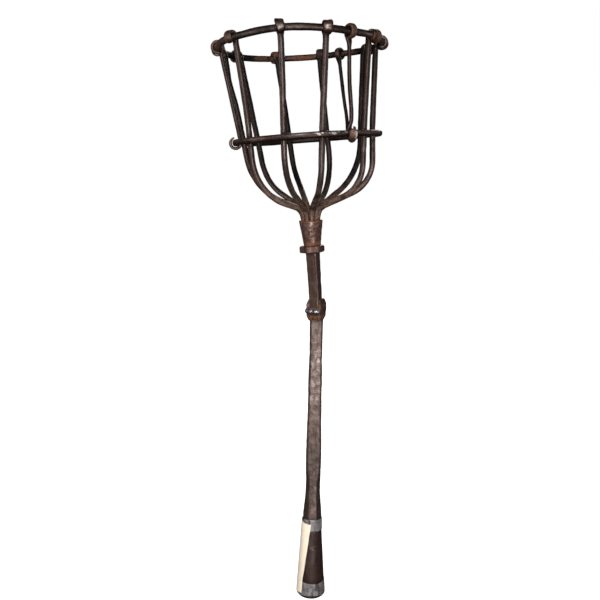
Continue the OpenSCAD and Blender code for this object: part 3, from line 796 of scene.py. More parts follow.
def make_ring():
    n = 540
    az = np.arange(n) * 360.0 / n
    calm = window(az, [h[0] for h in HANGERS], 9)
    wob = np.c_[cosd(az), sind(az), az * 0] * 60
    dr = 0.55 * noise(wob, 40, 3) * calm
    rise = ring_rise(np.arange(3 * n) * 360.0 / n)
    w = np.exp(-0.5 * (np.arange(-18, 19) / 7.0) ** 2)
    rise = np.convolve(rise, w / w.sum(), "same")[n : 2 * n]
    dz = 0.35 * noise(wob, 46, 8) * calm
    P = np.c_[(RING_R + dr) * sind(az), -(RING_R + dr) * cosd(az), dz]
    P = rx(ry(P, RING_TILT[1]), RING_TILT[0]) + [0, 0, RING_Z]
    P[:, 2] += rise
    P = leaning(P)
    side = leaning(rx(ry(np.array([[0, 0, 0], [0, 0, 1.0]]), RING_TILT[1]), RING_TILT[0]) + [0, 0, RING_Z])
    side = side[1] - side[0]
    radius = RING_D / 2 - 0.05 + 0.12 * noise(wob * 3, 22, 12) * calm

    def shaper(V, out, flow, around):
        return V + out * (0.11 * fbm(V, 8, 21, 2) + 0.05 * noise(V, 2.4, 22) - 0.05)[:, None]

    t = np.roll(P, -1, 0) - np.roll(P, 1, 0)
    t /= np.linalg.norm(t, axis=1)[:, None]
    b = side - (t @ side)[:, None] * t
    b /= np.linalg.norm(b, axis=1)[:, None]
    V, F, flow, out, around = swept(P, radius, radius, np.full(n, 2.3), b, m=28, shaper=shaper, closed=True)
    a = np.repeat(az, 28)
    centre = P.mean(0)
    rel = V - centre
    inward = -(out * (rel / np.linalg.norm(rel, axis=1)[:, None])).sum(1)
    upness = out @ (side / np.linalg.norm(side))
    front = smooth(-np.abs((a - 10 + 180) % 360 - 180), -78, -58)

    def spot(at, half):
        return np.exp(-((((a - at + 180) % 360 - 180) / half) ** 2))

    orange = 1.0 * spot(171, 10) + 0.9 * spot(184, 8) + 1.0 * spot(204, 9) + 0.9 * spot(216, 7) + 0.8 * spot(136, 12) + 0.5 * spot(152, 9)
    orange = (orange * (0.9 + 0.4 * noise(V, 9, 17))).clip(0, 1)
    rust = 0.06 + 0.66 * orange * smooth(inward, -0.1, 0.6) * (1 - smooth(upness, 0.35, 0.8)) + 0.05 * noise(V, 30, 5)
    bright = (spot(171, 11) + spot(184, 8)).clip(0, 1)
    ends = smooth(-np.abs((a + 85 + 180) % 360 - 180), -26, -13)
    # the inner face darkened with soot, and the upper half of the near arc painted dark: painted shade
    soot_and_shade = (1.0 * smooth(inward, -0.2, 0.5) * (1 - 0.85 * bright) * (1 - 0.3 * orange) + 0.85 * front * smooth(upness, -0.26, 0.24)) * (1 - 0.9 * ends)
    # the outer face at the left and right sides, and round the left hanger, painted lighter: painted light
    tan = 0.75 * smooth(-np.abs((a + 78 + 180) % 360 - 180), -34, -14) * smooth(-inward, -0.3, 0.4) * (0.6 + 0.7 * noise(V, 8, 18)).clip(0, 1)
    tan = np.maximum(tan + 0.35 * smooth(-np.abs((a - 72 + 180) % 360 - 180), -30, -14) * smooth(-inward, -0.3, 0.4), 0.95 * ends)
    bloom = 0.30 + 0.25 * noise(V, 40, 6) + 0.3 * orange
    # the lower half of the near arc painted lighter: a painted highlight
    low_band = smooth(upness, -0.75, -0.45) * (1 - smooth(upness, -0.15, 0.05))
    wear_and_highlight = front * low_band * (0.9 * noise(V * [1, 1, 0.4], 5, 15)).clip(0, 1) * smooth(-inward, -0.2, 0.3)
    soot_and_shade = np.clip(soot_and_shade, 0, 1)
    mesh_piece(
        "top_ring_forged", V, F, "frame", ["top_ring"], IRON,
        {"flow": np.c_[V[:, 0] * 0.001, flow[:, 1] * 0.001 + V[:, 1] * 0.001, flow[:, 2] * 0.001 + 3.0], "soot_and_shade": soot_and_shade, "bloom": bloom, "rust": rust, "wear_and_highlight": wear_and_highlight, "tan": tan.clip(0, 1)},
    )


def make_hoop():
    n = 500
    az = np.arange(n) * 360.0 / n
    calm = window(az, [h[1] for h in HANGERS], 9)
    wob = np.c_[cosd(az), sind(az), az * 0] * 60
    dr = 0.30 * noise(wob, 40, 31) * calm
    dz = 0.60 * noise(wob, 46, 38) * calm
    P = np.c_[(HOOP_R + dr) * sind(az) + HOOP_X, -(HOOP_R + dr) * cosd(az), HOOP_Z + dz]
    P = leaning(P)
    side = leaning([[0, 0, 1.0], [0, 0, 2.0]])
    side = side[1] - side[0]
    radius = HOOP_D / 2 - 0.05 + 0.13 * noise(wob * 3, 22, 33) * calm
    t = np.roll(P, -1, 0) - np.roll(P, 1, 0)
    t /= np.linalg.norm(t, axis=1)[:, None]
    b = side - (t @ side)[:, None] * t
    b /= np.linalg.norm(b, axis=1)[:, None]

    def shaper(V, out, flow, around):
        return V + out * (0.10 * fbm(V, 8, 35, 2) + 0.05 * noise(V, 2.4, 36) - 0.05)[:, None]

    V, F, flow, out, around = swept(P, radius, radius, np.full(n, 2.3), b, m=28, shaper=shaper, closed=True)
    a = np.repeat(az, 28)
    centre = P.mean(0)
    rel = V - centre
    inward = -(out * (rel / np.linalg.norm(rel, axis=1)[:, None])).sum(1)
    upness = out @ (side / np.linalg.norm(side))
    front = (np.abs((a + 180) % 360 - 180) < 75).astype(float)
    # a band along the upper front painted lighter: a painted highlight
    upper_highlight_band = smooth(upness, 0.12, 0.34) * (1 - smooth(upness, 0.62, 0.85)) * front
    # a bright scuffed length on the upper side, to the right of the middle
    scuff = smooth(-np.abs((a - 18 + 180) % 360 - 180), -17, -7) * smooth(upness, -0.30, -0.10) * (1 - smooth(upness, 0.45, 0.7))
    # the outer face at the left and right sides painted lighter: painted light
    tan = 0.45 * smooth(-np.abs((a + 70 + 180) % 360 - 180), -50, -20) * smooth(-inward, -0.3, 0.4) * (0.6 + 0.7 * noise(V, 8, 43)).clip(0, 1)
    tan = tan + 0.40 * smooth(-np.abs((a - 80 + 180) % 360 - 180), -36, -14) * smooth(-inward, -0.3, 0.4)
    rust = 0.12 + 0.20 * scuff + 0.10 * noise(V, 26, 41) + 0.22 * smooth(-np.abs((a - 180 + 180) % 360 - 180), -70, -20) + 0.22 * smooth(-np.abs((a - 38 + 180) % 360 - 180), -9, -4)
    # the inner face darkened with soot, and the lower half and top edge of the front painted dark: painted shade
    soot_and_shade = (0.7 * smooth(inward, -0.1, 0.7) + 0.5 * front * smooth(-upness, -0.02, 0.5) + 0.5 * front * smooth(upness, 0.72, 0.92)).clip(0, 1)
    bloom = 0.5 + 0.25 * noise(V, 36, 42)
    grit = (0.2 + 1.3 * noise(V, 2.6, 45)).clip(0, 1)
    wear_and_highlight = (0.65 * upper_highlight_band * (0.55 + 0.7 * noise(V, 11, 44)).clip(0, 1) + 1.0 * scuff * grit).clip(0, 1)
    # painted glints along the scuff
    painted_glint = scuff * smooth(noise(V * [0.6, 1, 1], 1.9, 46), -0.1, 0.35)
    mesh_piece(
        "middle_hoop_forged", V, F, "hoop", ["middle_hoop"], IRON,
        {"flow": np.c_[V[:, 0] * 0.001, flow[:, 1] * 0.001 + V[:, 1] * 0.001, flow[:, 2] * 0.001 + 5.0], "soot_and_shade": soot_and_shade, "bloom": bloom, "rust": rust, "wear_and_highlight": wear_and_highlight, "tan": tan.clip(0, 1), "painted_glint": painted_glint.clip(0, 1)},
    )


def make_hanger(k, name):
    a = HANGERS[k]
    pt = pol(RING_R, a[0])
    pb = pol(HOOP_R, a[1]) + [HOOP_X, 0, 0]
    h = RING_Z + ring_dz(a[0]) - HOOP_Z
    d = pt - pb
    ur = pol(1, a[1])
    dr = d[0] * ur[0] + d[1] * ur[1]
    dt = -d[0] * ur[1] + d[1] * ur[0]
    hh = math.hypot(h, dt)
    ln = math.hypot(hh, dr)
    ct = RING_D / 2 + SLACK - 0.1 + WIRE_R
    cb = HOOP_D / 2 + SLACK + WIRE_R
    ex = 2.4
    L = math.sqrt(ln * ln - (ex - cb) ** 2)
    pts = []
    # hook, from its tip over the outside and under the hoop
    for q in np.linspace(442, 180, 70):
        grow = 1 + 0.05 * smooth(q, 410, 442)
        twist = (-4.6 * smooth(q, 205, 325) + 4.6 * smooth(q, 380, 425)) if k == 1 else 0.0
        out_by = 0.65 * smooth(q, 240, 290) if k == 1 else 0.0
        pts.append((cb * grow * cosd(q) - twist**2 / (2 * HOOP_R) + out_by, twist, cb * grow * sind(q)))
    hook_n = len(pts)
    for q in np.linspace(1.0, L - 13, 60):
        pts.append((-cb, 0, q))
    # the neck swings out to the inner side of the eye
    c0 = np.array([-cb, L - 13.0])
    e = np.array([ex - cb, L])
    j = 192.0
    c3 = e + ct * np.array([cosd(j), sind(j)])
    tj = np.array([sind(j), -cosd(j)])
    c1, c2 = c0 + [0, 5.0], c3 - tj * 5.0
    for q in np.linspace(0, 1, 24)[1:]:
        p = (1 - q) ** 3 * c0 + 3 * q * (1 - q) ** 2 * c1 + 3 * q * q * (1 - q) * c2 + q**3 * c3
        pts.append((p[0], 0, p[1]))
    lap = (0.8, -0.8, 0.7)[k]
    for q in np.linspace(j, -98, 80)[1:]:
        g = ct
        pts.append((e[0] + g * cosd(q), lap * smooth(-q, 20, 98), e[1] + g * sind(q)))
    step = 0.8
    path, s = even(np.array(pts), step)
    total = s[-1]
    path_raw = path.copy()
    path = relax(path, 0.9, step)
    bow = (0.3, 3.3, -1.0)[k]
    f = np.clip(path[:, 2] / L, 0, 1)
    path[:, 1] += bow * np.exp(-(((f - (0.24, 0.18, 0.24)[k]) / (0.13, 0.23, 0.13)[k]) ** 2)) * smooth(path[:, 2], (9, 5, 9)[k], (18, 15, 18)[k])

    def place(p):
        p = ry(p, math.degrees(math.atan2(dr, hh) - math.asin((ex - cb) / ln)))
        p = rx(p, -math.degrees(math.atan2(dt, h)))
        return leaning(rz(p, a[1] - 90) + pb + [0, 0, HOOP_Z])

    eye_len = ct * math.radians(j + 98)
    hook_len = cb * math.radians(262)
    r = np.full(len(s), SHANK_R)
    r = np.where(s < hook_len + 8, WIRE_R + (SHANK_R - WIRE_R) * smooth(s, hook_len, hook_len + 9), r)
    r = r - (SHANK_R - WIRE_R) * smooth(s, total - eye_len - 12, total - eye_len - 1)
    r = r * (1 - 0.34 * smooth(-s, -9, 0)) * (1 - 0.22 * smooth(s, total - 9, total))
    shank = smooth(s, hook_len + 6, hook_len + 18) * (1 - smooth(s, total - eye_len - 18, total - eye_len - 6))
    r = r + shank * (0.12 * noise(np.c_[s, s * 0, s * 0], 17, 70 + k) + 0.06 * noise(np.c_[s, s * 0, s * 0], 6, 75 + k))
    upper = smooth(s, total - eye_len - 18, total - eye_len - 2)
    lower = 1 - smooth(s, hook_len, hook_len + 14)
    half_w = r * (1 + (0.80, 1.15, 0.90)[k] * upper + (0.50, 1.50, 0.35)[k] * lower * smooth(s, 3.2, 11.0))
    half_t = r * (1 + (0.05, 0.05, -0.07)[k] * (1 - shank) - (0.0, 0.20, 0.0)[k] * lower)
    path_w = place(path)
    y = place(np.array([[0, 0, 0], [0, 1.0, 0]]))
    side = y[1] - y[0]

    def shaper(V, out, flow, around):
        sh = smooth(flow[:, 0], hook_len + 4, hook_len + 16) * (1 - smooth(flow[:, 0], total - eye_len - 18, total - eye_len - 6))
        amp = 0.05 + 0.07 * sh
        return V + out * (amp * fbm(V, 5, 80 + k, 2) - 0.04 + 0.03 * noise(V, 2.0, 85 + k))[:, None]

    V, F, flow, out, around = swept(path_w, half_w, half_t, np.full(len(s), 2.2), side, len(s) // 2, 22, (0.9, 0.9), shaper)
    eye = smooth(flow[:, 0], total - eye_len - 6, total - eye_len)
    hook = 1 - smooth(flow[:, 0], hook_len, hook_len + 6)
    n = len(V)
    rust = 0.12 + (0.08, 0.38, 0.30)[k] * eye + (0.16, 0.38, 0.16)[k] * hook
    tan = (0.7, 0.35, 0.2)[k] * eye + (0.6, 0.45, 0.3)[k] * hook
    bloom = 0.35 + 0.45 * eye + 0.3 * hook
    wear_and_highlight = 0.15 + 0.35 * eye * smooth(flow[:, 0], total - 12, total - 2) + (0.45 if k == 1 else 0.2) * hook * smooth(-flow[:, 0], -16, -4)
    # the shanks darker, the far back one darkest: painted shade
    soot_and_shade = (0.30, 0.50, 1.0)[k] * (1 - eye) * (1 - hook) + 0.10 * eye
    # a painted glint on the front hanger's hook
    painted_glint = (0.8 if k == 1 else 0.0) * hook * smooth(flow[:, 0], 7, 10) * (1 - smooth(flow[:, 0], 15, 18)) * np.exp(-(((flow[:, 1] - 3.4) / 0.8) ** 2))
    mesh_piece(
        name + "_forged", V, F, name, [name], IRON,
        {"flow": flow * 0.001 + [2.0 + 0.3 * k, 0, 0], "soot_and_shade": soot_and_shade, "bloom": bloom, "rust": rust, "wear_and_highlight": wear_and_highlight, "tan": tan, "painted_glint": painted_glint},
    )


make_ring()
make_hoop()
for k, name in enumerate(("hanger_left", "hanger_front", "hanger_back")):
    make_hanger(k, name)

# ---------------------------------------------------------------- cup and collar


def make_cup():
    """A hammered sheet rolled into a cone round the bar feet, its outer edge lapped down the left front."""
    m, zs = 180, np.linspace(0, CUP_H, 50)
    az = np.arange(m) * 360.0 / m - 180
    Z, A = np.meshgrid(zs, az, indexing="ij")
    z, a = Z.ravel(), A.ravel()
    R = CUP_FOOT + (CUP_RIM - CUP_FOOT) * z / CUP_H
    lap_at = -68 + 19 * z / CUP_H + 2.0 * np.sin(z / 5.0)
    lap = smooth(a, lap_at + 1.0, lap_at - 1.6) * smooth(a, -172, -120)
    p3 = np.c_[R * sind(a), -R * cosd(a), z]
    ham = hammered((a + 180) / 360 * 82, z, 82.0, CUP_H, 130, 12.0, 0.35, 11)
    r = R - 0.10 + 0.55 * lap + 1.1 * smooth(a, 25, 95) * smooth(-a, -170, -120) * (0.6 + 0.4 * z / CUP_H) + np.minimum(ham, 0.3) * (1 - 0.55 * lap) + 0.10 * fbm(p3, 5, 90, 2)
    # rolled rim and worn foot
    r = r - 0.55 * smooth(z, CUP_H - 1.4, CUP_H) - 0.35 * smooth(-z, -1.2, 0)
    r = np.minimum(r, R + 1.2)
    rim = 0.8 * noise(np.c_[cosd(az) * 20, sind(az) * 20, az * 0], 9, 91) - 0.5 + 0.9 * smooth(az, -49, -56) * smooth(az, -100, -75)
    lift = np.repeat((zs / CUP_H)[:, None] ** 6, m, 1) * rim[None]
    outer = np.stack([r * sind(a), -r * cosd(a), z + lift.ravel() + CUP_Z], 1)
    # inner wall, and a floor above the stem's tang
    zi = np.linspace(CUP_H, 4, 22)
    inner = []
    for i, zz in enumerate(zi):
        ri = (CUP_FOOT + (CUP_RIM - CUP_FOOT) * zz / CUP_H) - 1.75 - 0.15 * (i > 0)
        wob = 0.12 * noise(np.c_[cosd(az) * 16, sind(az) * 16, az * 0 + zz], 6, 93)
        li = rim * (zz / CUP_H) ** 6
        inner.append(np.c_[(ri + wob) * sind(az), -(ri + wob) * cosd(az), zz + li + CUP_Z - 0.25 * (i == 0)])
    inner = np.vstack(inner)
    floor = np.vstack([np.c_[(CUP_FOOT - 1.4) * q * sind(az), -(CUP_FOOT - 1.4) * q * cosd(az), az * 0 + CUP_Z + 3.9] for q in (0.75, 0.5, 0.25)])
    rows = len(zs) + len(zi) + 3
    V = np.vstack([outer, inner, floor])
    F = tube_faces(rows, m)
    top = len(V)
    low = top + 1
    V = np.vstack([V, [0, 0, CUP_Z + 3.9], [0, 0, CUP_Z]])
    for k in range(m):
        F.append((top, (rows - 1) * m + k, (rows - 1) * m + (k + 1) % m))
        F.append((low, (k + 1) % m, k))
    V = leaning(V)
    n_out = len(outer)
    rust = np.full(len(V), 0.5)
    wear_and_highlight = np.zeros(len(V))
    bloom = np.full(len(V), 0.6)
    soot_and_shade = np.zeros(len(V))
    rust[:n_out] = 0.16 + 0.50 * (1 - smooth(z, 4.0, 8.5)) * (1 - 0.8 * lap) + 0.20 * smooth(a, 15, 40) * smooth(-a, -95, -70) * smooth(z, 16, 30) + 0.42 * smooth(z, CUP_H - 3.4, CUP_H - 1.4) + 0.12 * noise(p3, 9, 94)
    # worn ridges between the hammer scallops and on the lap, and the upper front painted lighter: a painted highlight
    wear_and_highlight[:n_out] = (0.02 + 0.40 * smooth(ham, 0.02, 0.22) + 0.25 * smooth(z, 18, 30) * smooth(-np.abs(a - 0), -50, -15) + 0.35 * lap) * (0.45 + 0.75 * noise(p3, 4, 95)).clip(0, 1)
    # a painted highlight high on the front
    wear_and_highlight[:n_out] += 0.9 * np.exp(-(((a - 4) / 9) ** 2) - ((z - 30) / 3.0) ** 2)
    bloom[:n_out] = (0.25 + 0.55 * smooth(a, 5, 45) + 0.25 * noise(p3, 8, 96)) * (1 - 0.7 * lap)
    # a dark line along the lap's edge and the right side painted dark: painted shade; darker near the foot and inside
    edge = np.exp(-(((a - lap_at - 1.2) / 2.2) ** 2))
    soot_and_shade[:n_out] = 0.75 * edge + 0.35 * smooth(a, 58, 85) + 0.2 * smooth(np.abs(z - 2), 1.2, 0)
    soot_and_shade[n_out:] = 0.7
    mesh_piece(
        "bar_cup_hammered", V, F, "frame", ["bar_cup"], IRON_CUP,
        {"flow": V[:, [2, 0, 1]] * 0.001, "soot_and_shade": soot_and_shade.clip(0, 1), "bloom": bloom.clip(0, 1), "rust": rust.clip(0, 1), "wear_and_highlight": wear_and_highlight.clip(0, 1)},
    )


def hexagon(az, apothem, p):
    out = 0
    for k in range(6):
        out = out + np.maximum(0, cosd(az - 60 * k)) ** p
    return apothem / out ** (1 / p)


def make_collar():
    h = 9.4
    zs = np.r_[0, 0.12, 0.4, 0.85, 1.4, 2.0, np.linspace(2.6, h - 2.6, 8), h - 2.0, h - 1.4, h - 0.85, h - 0.4, h - 0.12, h]
    apothem = COLLAR_D / 2 * cosd(30)

    def radius(z, az):
        d = np.minimum(z, h - z)
        rr = 2.1 + 0.6 * np.exp(-(((az - 90) / 35) ** 2))
        inset = np.where(d < rr, rr - np.sqrt(np.maximum(rr * rr - (rr - d) ** 2, 0)), 0)
        base = np.minimum(hexagon(az, apothem + 0.1, 26.0), COLLAR_D / 2 - 0.1) + 1.5 * np.exp(-(((az - 270) / 30) ** 2))
        p = np.c_[base * sind(az), -base * cosd(az), z]
        return base - inset + 0.22 * fbm(p, 6, 100, 2) - 0.15

    V, F, az = lathe(zs, radius, 144, 7, 7)
    top = smooth(V[:, 2], h - 0.3, h)
    V[:, 2] += 0.18 * noise(V, 5, 101) + CUP_Z - h + 0.7
    p = V.copy()
    ear = smooth(np.abs(V[:, 0]), 9.5, 12.0)
    V = leaning(V)
    rust = 0.20 + 0.35 * top * (1 - ear) + 0.08 * noise(p, 8, 102)
    # the left side painted lighter: painted light
    wear_and_highlight = 0.45 * (0.6 + 0.6 * noise(p, 5, 103)).clip(0, 1) * (1 - 0.4 * ear) + 0.25 * smooth(-p[:, 0], 10, 13)
    bloom = 0.45 * (1 - ear) + 0.25 + 0.2 * noise(p, 9, 104)
    # the right side and the lower part of the ears painted dark: painted shade
    soot_and_shade = 0.35 * smooth(p[:, 0], 9.5, 12.5) + 0.3 * (1 - smooth(p[:, 2], CUP_Z - h + 1.0, CUP_Z - h + 2.8)) * ear
    mesh_piece(
        "stem_collar_forged", V, F, "frame", ["stem_collar"], IRON_STEM,
        {"flow": V[:, [2, 0, 1]] * 0.001, "soot_and_shade": soot_and_shade.clip(0, 1), "bloom": bloom.clip(0, 1), "rust": rust.clip(0, 1), "wear_and_highlight": wear_and_highlight.clip(0, 1)},
    )


make_cup()
make_collar()

# ---------------------------------------------------------------- stem, knuckle and bead


def rows_at(rows, z, sigma=0.0, step=0.5):
    """Widths and cuts at each height of a loft, with its corners in height rounded."""
    rows = np.array(rows, float)
    zz = np.arange(rows[0, 0], rows[-1, 0] + step, step)
    out = []
    for c in range(1, rows.shape[1]):
        v = np.interp(zz, rows[:, 0], rows[:, c])
        if sigma:
            n = int(3 * sigma / step)
            w = np.exp(-0.5 * (np.arange(-n, n + 1) * step / sigma) ** 2)
            w /= w.sum()
            v = np.convolve(np.r_[2 * v[0] - v[n:0:-1], v, 2 * v[-1] - v[-2 : -n - 2 : -1]], w, "valid")
        out.append(np.interp(z, zz, v))
    return out


def make_stem():
    rows = [(434, 14.4, 14.4, 1.3, -1.6), (446, 14.4, 14.4, 1.3, -1.6), (449, 14.5, 14.5, 1.3, -0.8), (488, 15.0, 15.0, 1.3, -0.2), (CUP_Z - 8.4, 15.6, 15.6, 1.3, 0)]
    zs = np.arange(434, CUP_Z - 8.3, 0.9)

    def radius(z, az):
        wx, wy, cut, sh = rows_at(rows, z, 1.2)
        base = octagon(az, wx, wy, cut, 60)
        p = np.c_[base * sind(az), -base * cosd(az), z]
        corner = corner_ness(az, 45, 8)
        s = az / 360 * 50
        ham = np.minimum(hammered(s, z - 434, 50.0, 78.0, 60, 60.0, 0.22, 21), 0.15)
        return base + ham + 0.10 * fbm(p, 9, 110, 2) - corner * 0.22 * np.abs(noise(p, 4, 111))

    V, F, az = lathe(zs, radius, 128, 3, 3, shift=lambda z: rows_at(rows, z, 1.2)[3])
    # a long seam left by the hammer on the front face, near its right edge
    seam = np.exp(-(((V[:, 0] - 5.2 - 0.35 * np.sin(V[:, 2] / 9)) / 0.85) ** 2)) * (V[:, 1] < -5.0) * smooth(V[:, 2], 447, 455) * (1 - smooth(V[:, 2], 503, 508))
    V[:, 1] += 0.45 * seam
    q = V.copy()
    V = leaning(rz(V, TURN))
    front = (az < 50) | (az > 310)
    right = (az > 50) & (az < 130)
    z = q[:, 2]
    p = q
    # the front face painted lighter, partly worn and partly a painted highlight; worn corners
    wear_and_highlight = 0.30 * front * (0.5 + 0.7 * noise(p, 7, 112)).clip(0, 1) + 0.55 * corner_ness(az, 45, 6) * (0.5 + 0.6 * noise(p, 6, 113)).clip(0, 1) * (az < 180)
    # the right face, the groove of the seam, one corner and the lower sides painted dark: painted shade
    soot_and_shade = 0.18 * right + 0.8 * seam + 0.25 * corner_ness(az, 315, 10) * (az > 270) + 0.4 * (1 - smooth(z, 440, 447)) * (~front)
    bloom = 0.35 + 0.35 * smooth(z, 470, 505) + 0.25 * noise(p, 12, 114)
    rust = 0.16 + 0.10 * noise(p, 10, 115) + 0.2 * (1 - smooth(z, 441, 446)) * front
    mesh_piece(
        "upper_stem_forged", V, F, "frame", ["upper_stem"], IRON_STEM,
        {"flow": q[:, [2, 0, 1]] * 0.001 * [1, 1, 1], "soot_and_shade": np.clip(soot_and_shade, 0, 1), "bloom": np.clip(bloom, 0, 1), "rust": np.clip(rust, 0, 1), "wear_and_highlight": np.clip(wear_and_highlight, 0, 1)},
    )


def make_knuckle():
    rows = [(416.6, 16.8, 16.8, 1.2), (422.8, 21.8, 21.8, 1.2), (439.5, 22.2, 22.2, 1.2), (446.5, 17.0, 17.0, 1.2)]
    zs = np.arange(416.6, 446.61, 0.5)

    def radius(z, az):
        wx, wy, cut = rows_at(rows, z, 0.8)
        base = octagon(az, wx, wy, cut, 70)
        p = np.c_[base * sind(az), -base * cosd(az), z]
        s = az / 360 * 80
        ham = np.minimum(hammered(s, z - 414, 80.0, 32.0, 50, 40.0, 0.3, 31), 0.15)
        r = base + ham + 0.12 * fbm(p, 6, 120, 2) - corner_ness(az, 45, 7) * 0.3 * np.abs(noise(p, 3.5, 121))
        off = np.abs((az + 180) % 360 - 180)
        cut = smooth(-off, -41, -35) * smooth(z, 434.0, 438.5)
        return r - cut * np.maximum(0, r - 7.6)

    V, F, az = lathe(zs, radius, 144, 5, 5)
    q = V.copy()
    V = rz(V, TURN) - [0.5, 0, 0]
    z = q[:, 2]
    front = ((az < 45) | (az > 315)).astype(float)
    right = ((az > 47) & (az < 133)).astype(float)
    under = 1 - smooth(z, 422.5, 426.0)
    rust = 0.18 + 0.26 * right + 0.42 * under * (1 - 0.5 * right) + 0.30 * front * smooth(z, 430, 432) * (1 - smooth(z, 436, 440)) + 0.10 * noise(q, 6, 122)
    # darker towards the top; the lower right face and a band round the bead painted dark: painted shade
    soot_and_shade = 0.65 * smooth(z, 438, 442) + 0.22 * right * (1 - smooth(z, 421, 425)) + 0.36 * np.exp(-(((z - 429.6) / 4.2) ** 2))
    patch = np.exp(-(((q[:, 1] + 5.5) / 2.2) ** 2)) * right * smooth(z, 420, 423) * (1 - smooth(z, 431, 434))
    wear_and_highlight = 0.20 + 0.75 * patch + 0.35 * corner_ness(az, 45, 5) * (0.5 + 0.6 * noise(q, 4, 123)).clip(0, 1)
    soot_and_shade = soot_and_shade * (1 - 0.8 * patch)
    bloom = 0.55 + 0.25 * noise(q, 7, 124)
    mesh_piece(
        "knuckle_forged", V, F, "frame", ["knuckle"], IRON_STEM,
        {"flow": q[:, [2, 0, 1]] * 0.001, "soot_and_shade": np.clip(soot_and_shade, 0, 1), "bloom": np.clip(bloom, 0, 1), "rust": np.clip(rust, 0, 1), "wear_and_highlight": np.clip(wear_and_highlight, 0, 1)},
    )


def make_bead():
    """A half-round hoop shrunk round the knuckle, proud at the front and left, sunk at the right."""
    n = 200
    az = np.arange(n) * 360.0 / n
    half = octagon(az, 22 - 3.6, 22 - 3.6, 1.6, 12)
    sunk = 2.6 * smooth(az, 40, 58) * (1 - smooth(az, 150, 175))
    corner = corner_ness(az, 45, 11)
    half = half - sunk + 0.25 * corner + 1.3 * np.exp(-(((az - 306) / 16) ** 2))
    dz = 0.35 * noise(np.c_[cosd(az) * 14, sind(az) * 14, az * 0], 10, 131)
    P = np.c_[half * sind(az), -half * cosd(az), 429.6 + dz]
    t = np.roll(P, -1, 0) - np.roll(P, 1, 0)
    t /= np.linalg.norm(t, axis=1)[:, None]
    up = np.array([0, 0, 1.0])
    b = up - (t @ up)[:, None] * t
    b /= np.linalg.norm(b, axis=1)[:, None]
    knob = np.exp(-((((az - 343 + 180) % 360 - 180) / 7) ** 2)) + np.exp(-((((az - 24 + 180) % 360 - 180) / 8) ** 2)) + 0.7 * np.exp(-(((az - 300) / 9) ** 2))
    r = 3.6 + 0.45 * knob + 0.25 * noise(np.c_[cosd(az) * 14, sind(az) * 14, az * 0], 7, 132) - 0.25 * corner

    def shaper(V, out, flow, around):
        return V + out * (0.14 * fbm(V, 4, 133, 2))[:, None]

    V, F, flow, out, around = swept(P, r, r, np.full(n, 2.0), b, m=20, shaper=shaper, closed=True)
    a = np.repeat(az, 20)
    q = V.copy()
    V = rz(V, TURN) - [0.5, 0, 0]
    z = q[:, 2]
    glint = np.exp(-((((a - 343 + 180) % 360 - 180) / 6) ** 2)) + np.exp(-((((a - 24 + 180) % 360 - 180) / 6) ** 2))
    wear_and_highlight = 0.25 * smooth(z, 429.1, 431.4) * (0.45 + 0.9 * noise(q, 4.5, 134)).clip(0, 1) + 1.0 * glint * smooth(z, 428.0, 429.8)
    # the underside and the sunk right end painted dark: painted shade
    soot_and_shade = 0.5 * (1 - smooth(z, 427.1, 429.1)) + 0.5 * np.exp(-(((a - 50) / 14) ** 2))
    rust = 0.10 + 0.25 * (1 - smooth(z, 427.0, 428.2))
    mesh_piece(
        "knuckle_bead_forged", V, F, "frame", ["knuckle_bead"], BEAD,
        {"flow": q[:, [2, 0, 1]] * 0.001, "soot_and_shade": np.clip(soot_and_shade, 0, 1), "bloom": np.full(len(V), 0.1), "rust": rust, "wear_and_highlight": wear_and_highlight},
    )


make_stem()
make_knuckle()
make_bead()

# ---------------------------------------------------------------- shaft


SHAFT_ROWS = [
    (116.5, 27.1, 27.1, 7.9), (131, 26.2, 25.8, 7.4), (147, 22.7, 22.6, 6), (163, 20.9, 20.6, 5.2),
    (178, 20.5, 19.6, 4.7), (190, 21, 18.8, 3.4), (206, 21.6, 18.4, 1.8), (240, 21.2, 18, 1.6),
    (270, 19.6, 17.6, 1.6), (300, 18.9, 17.2, 1.6), (330, 19, 17, 1.6), (359, 17.6, 16.6, 1.6),
    (388, 17.6, 16.6, 1.6), (409, 18.0, 16.8, 1.6), (417.5, 18.2, 17, 1.8),
]


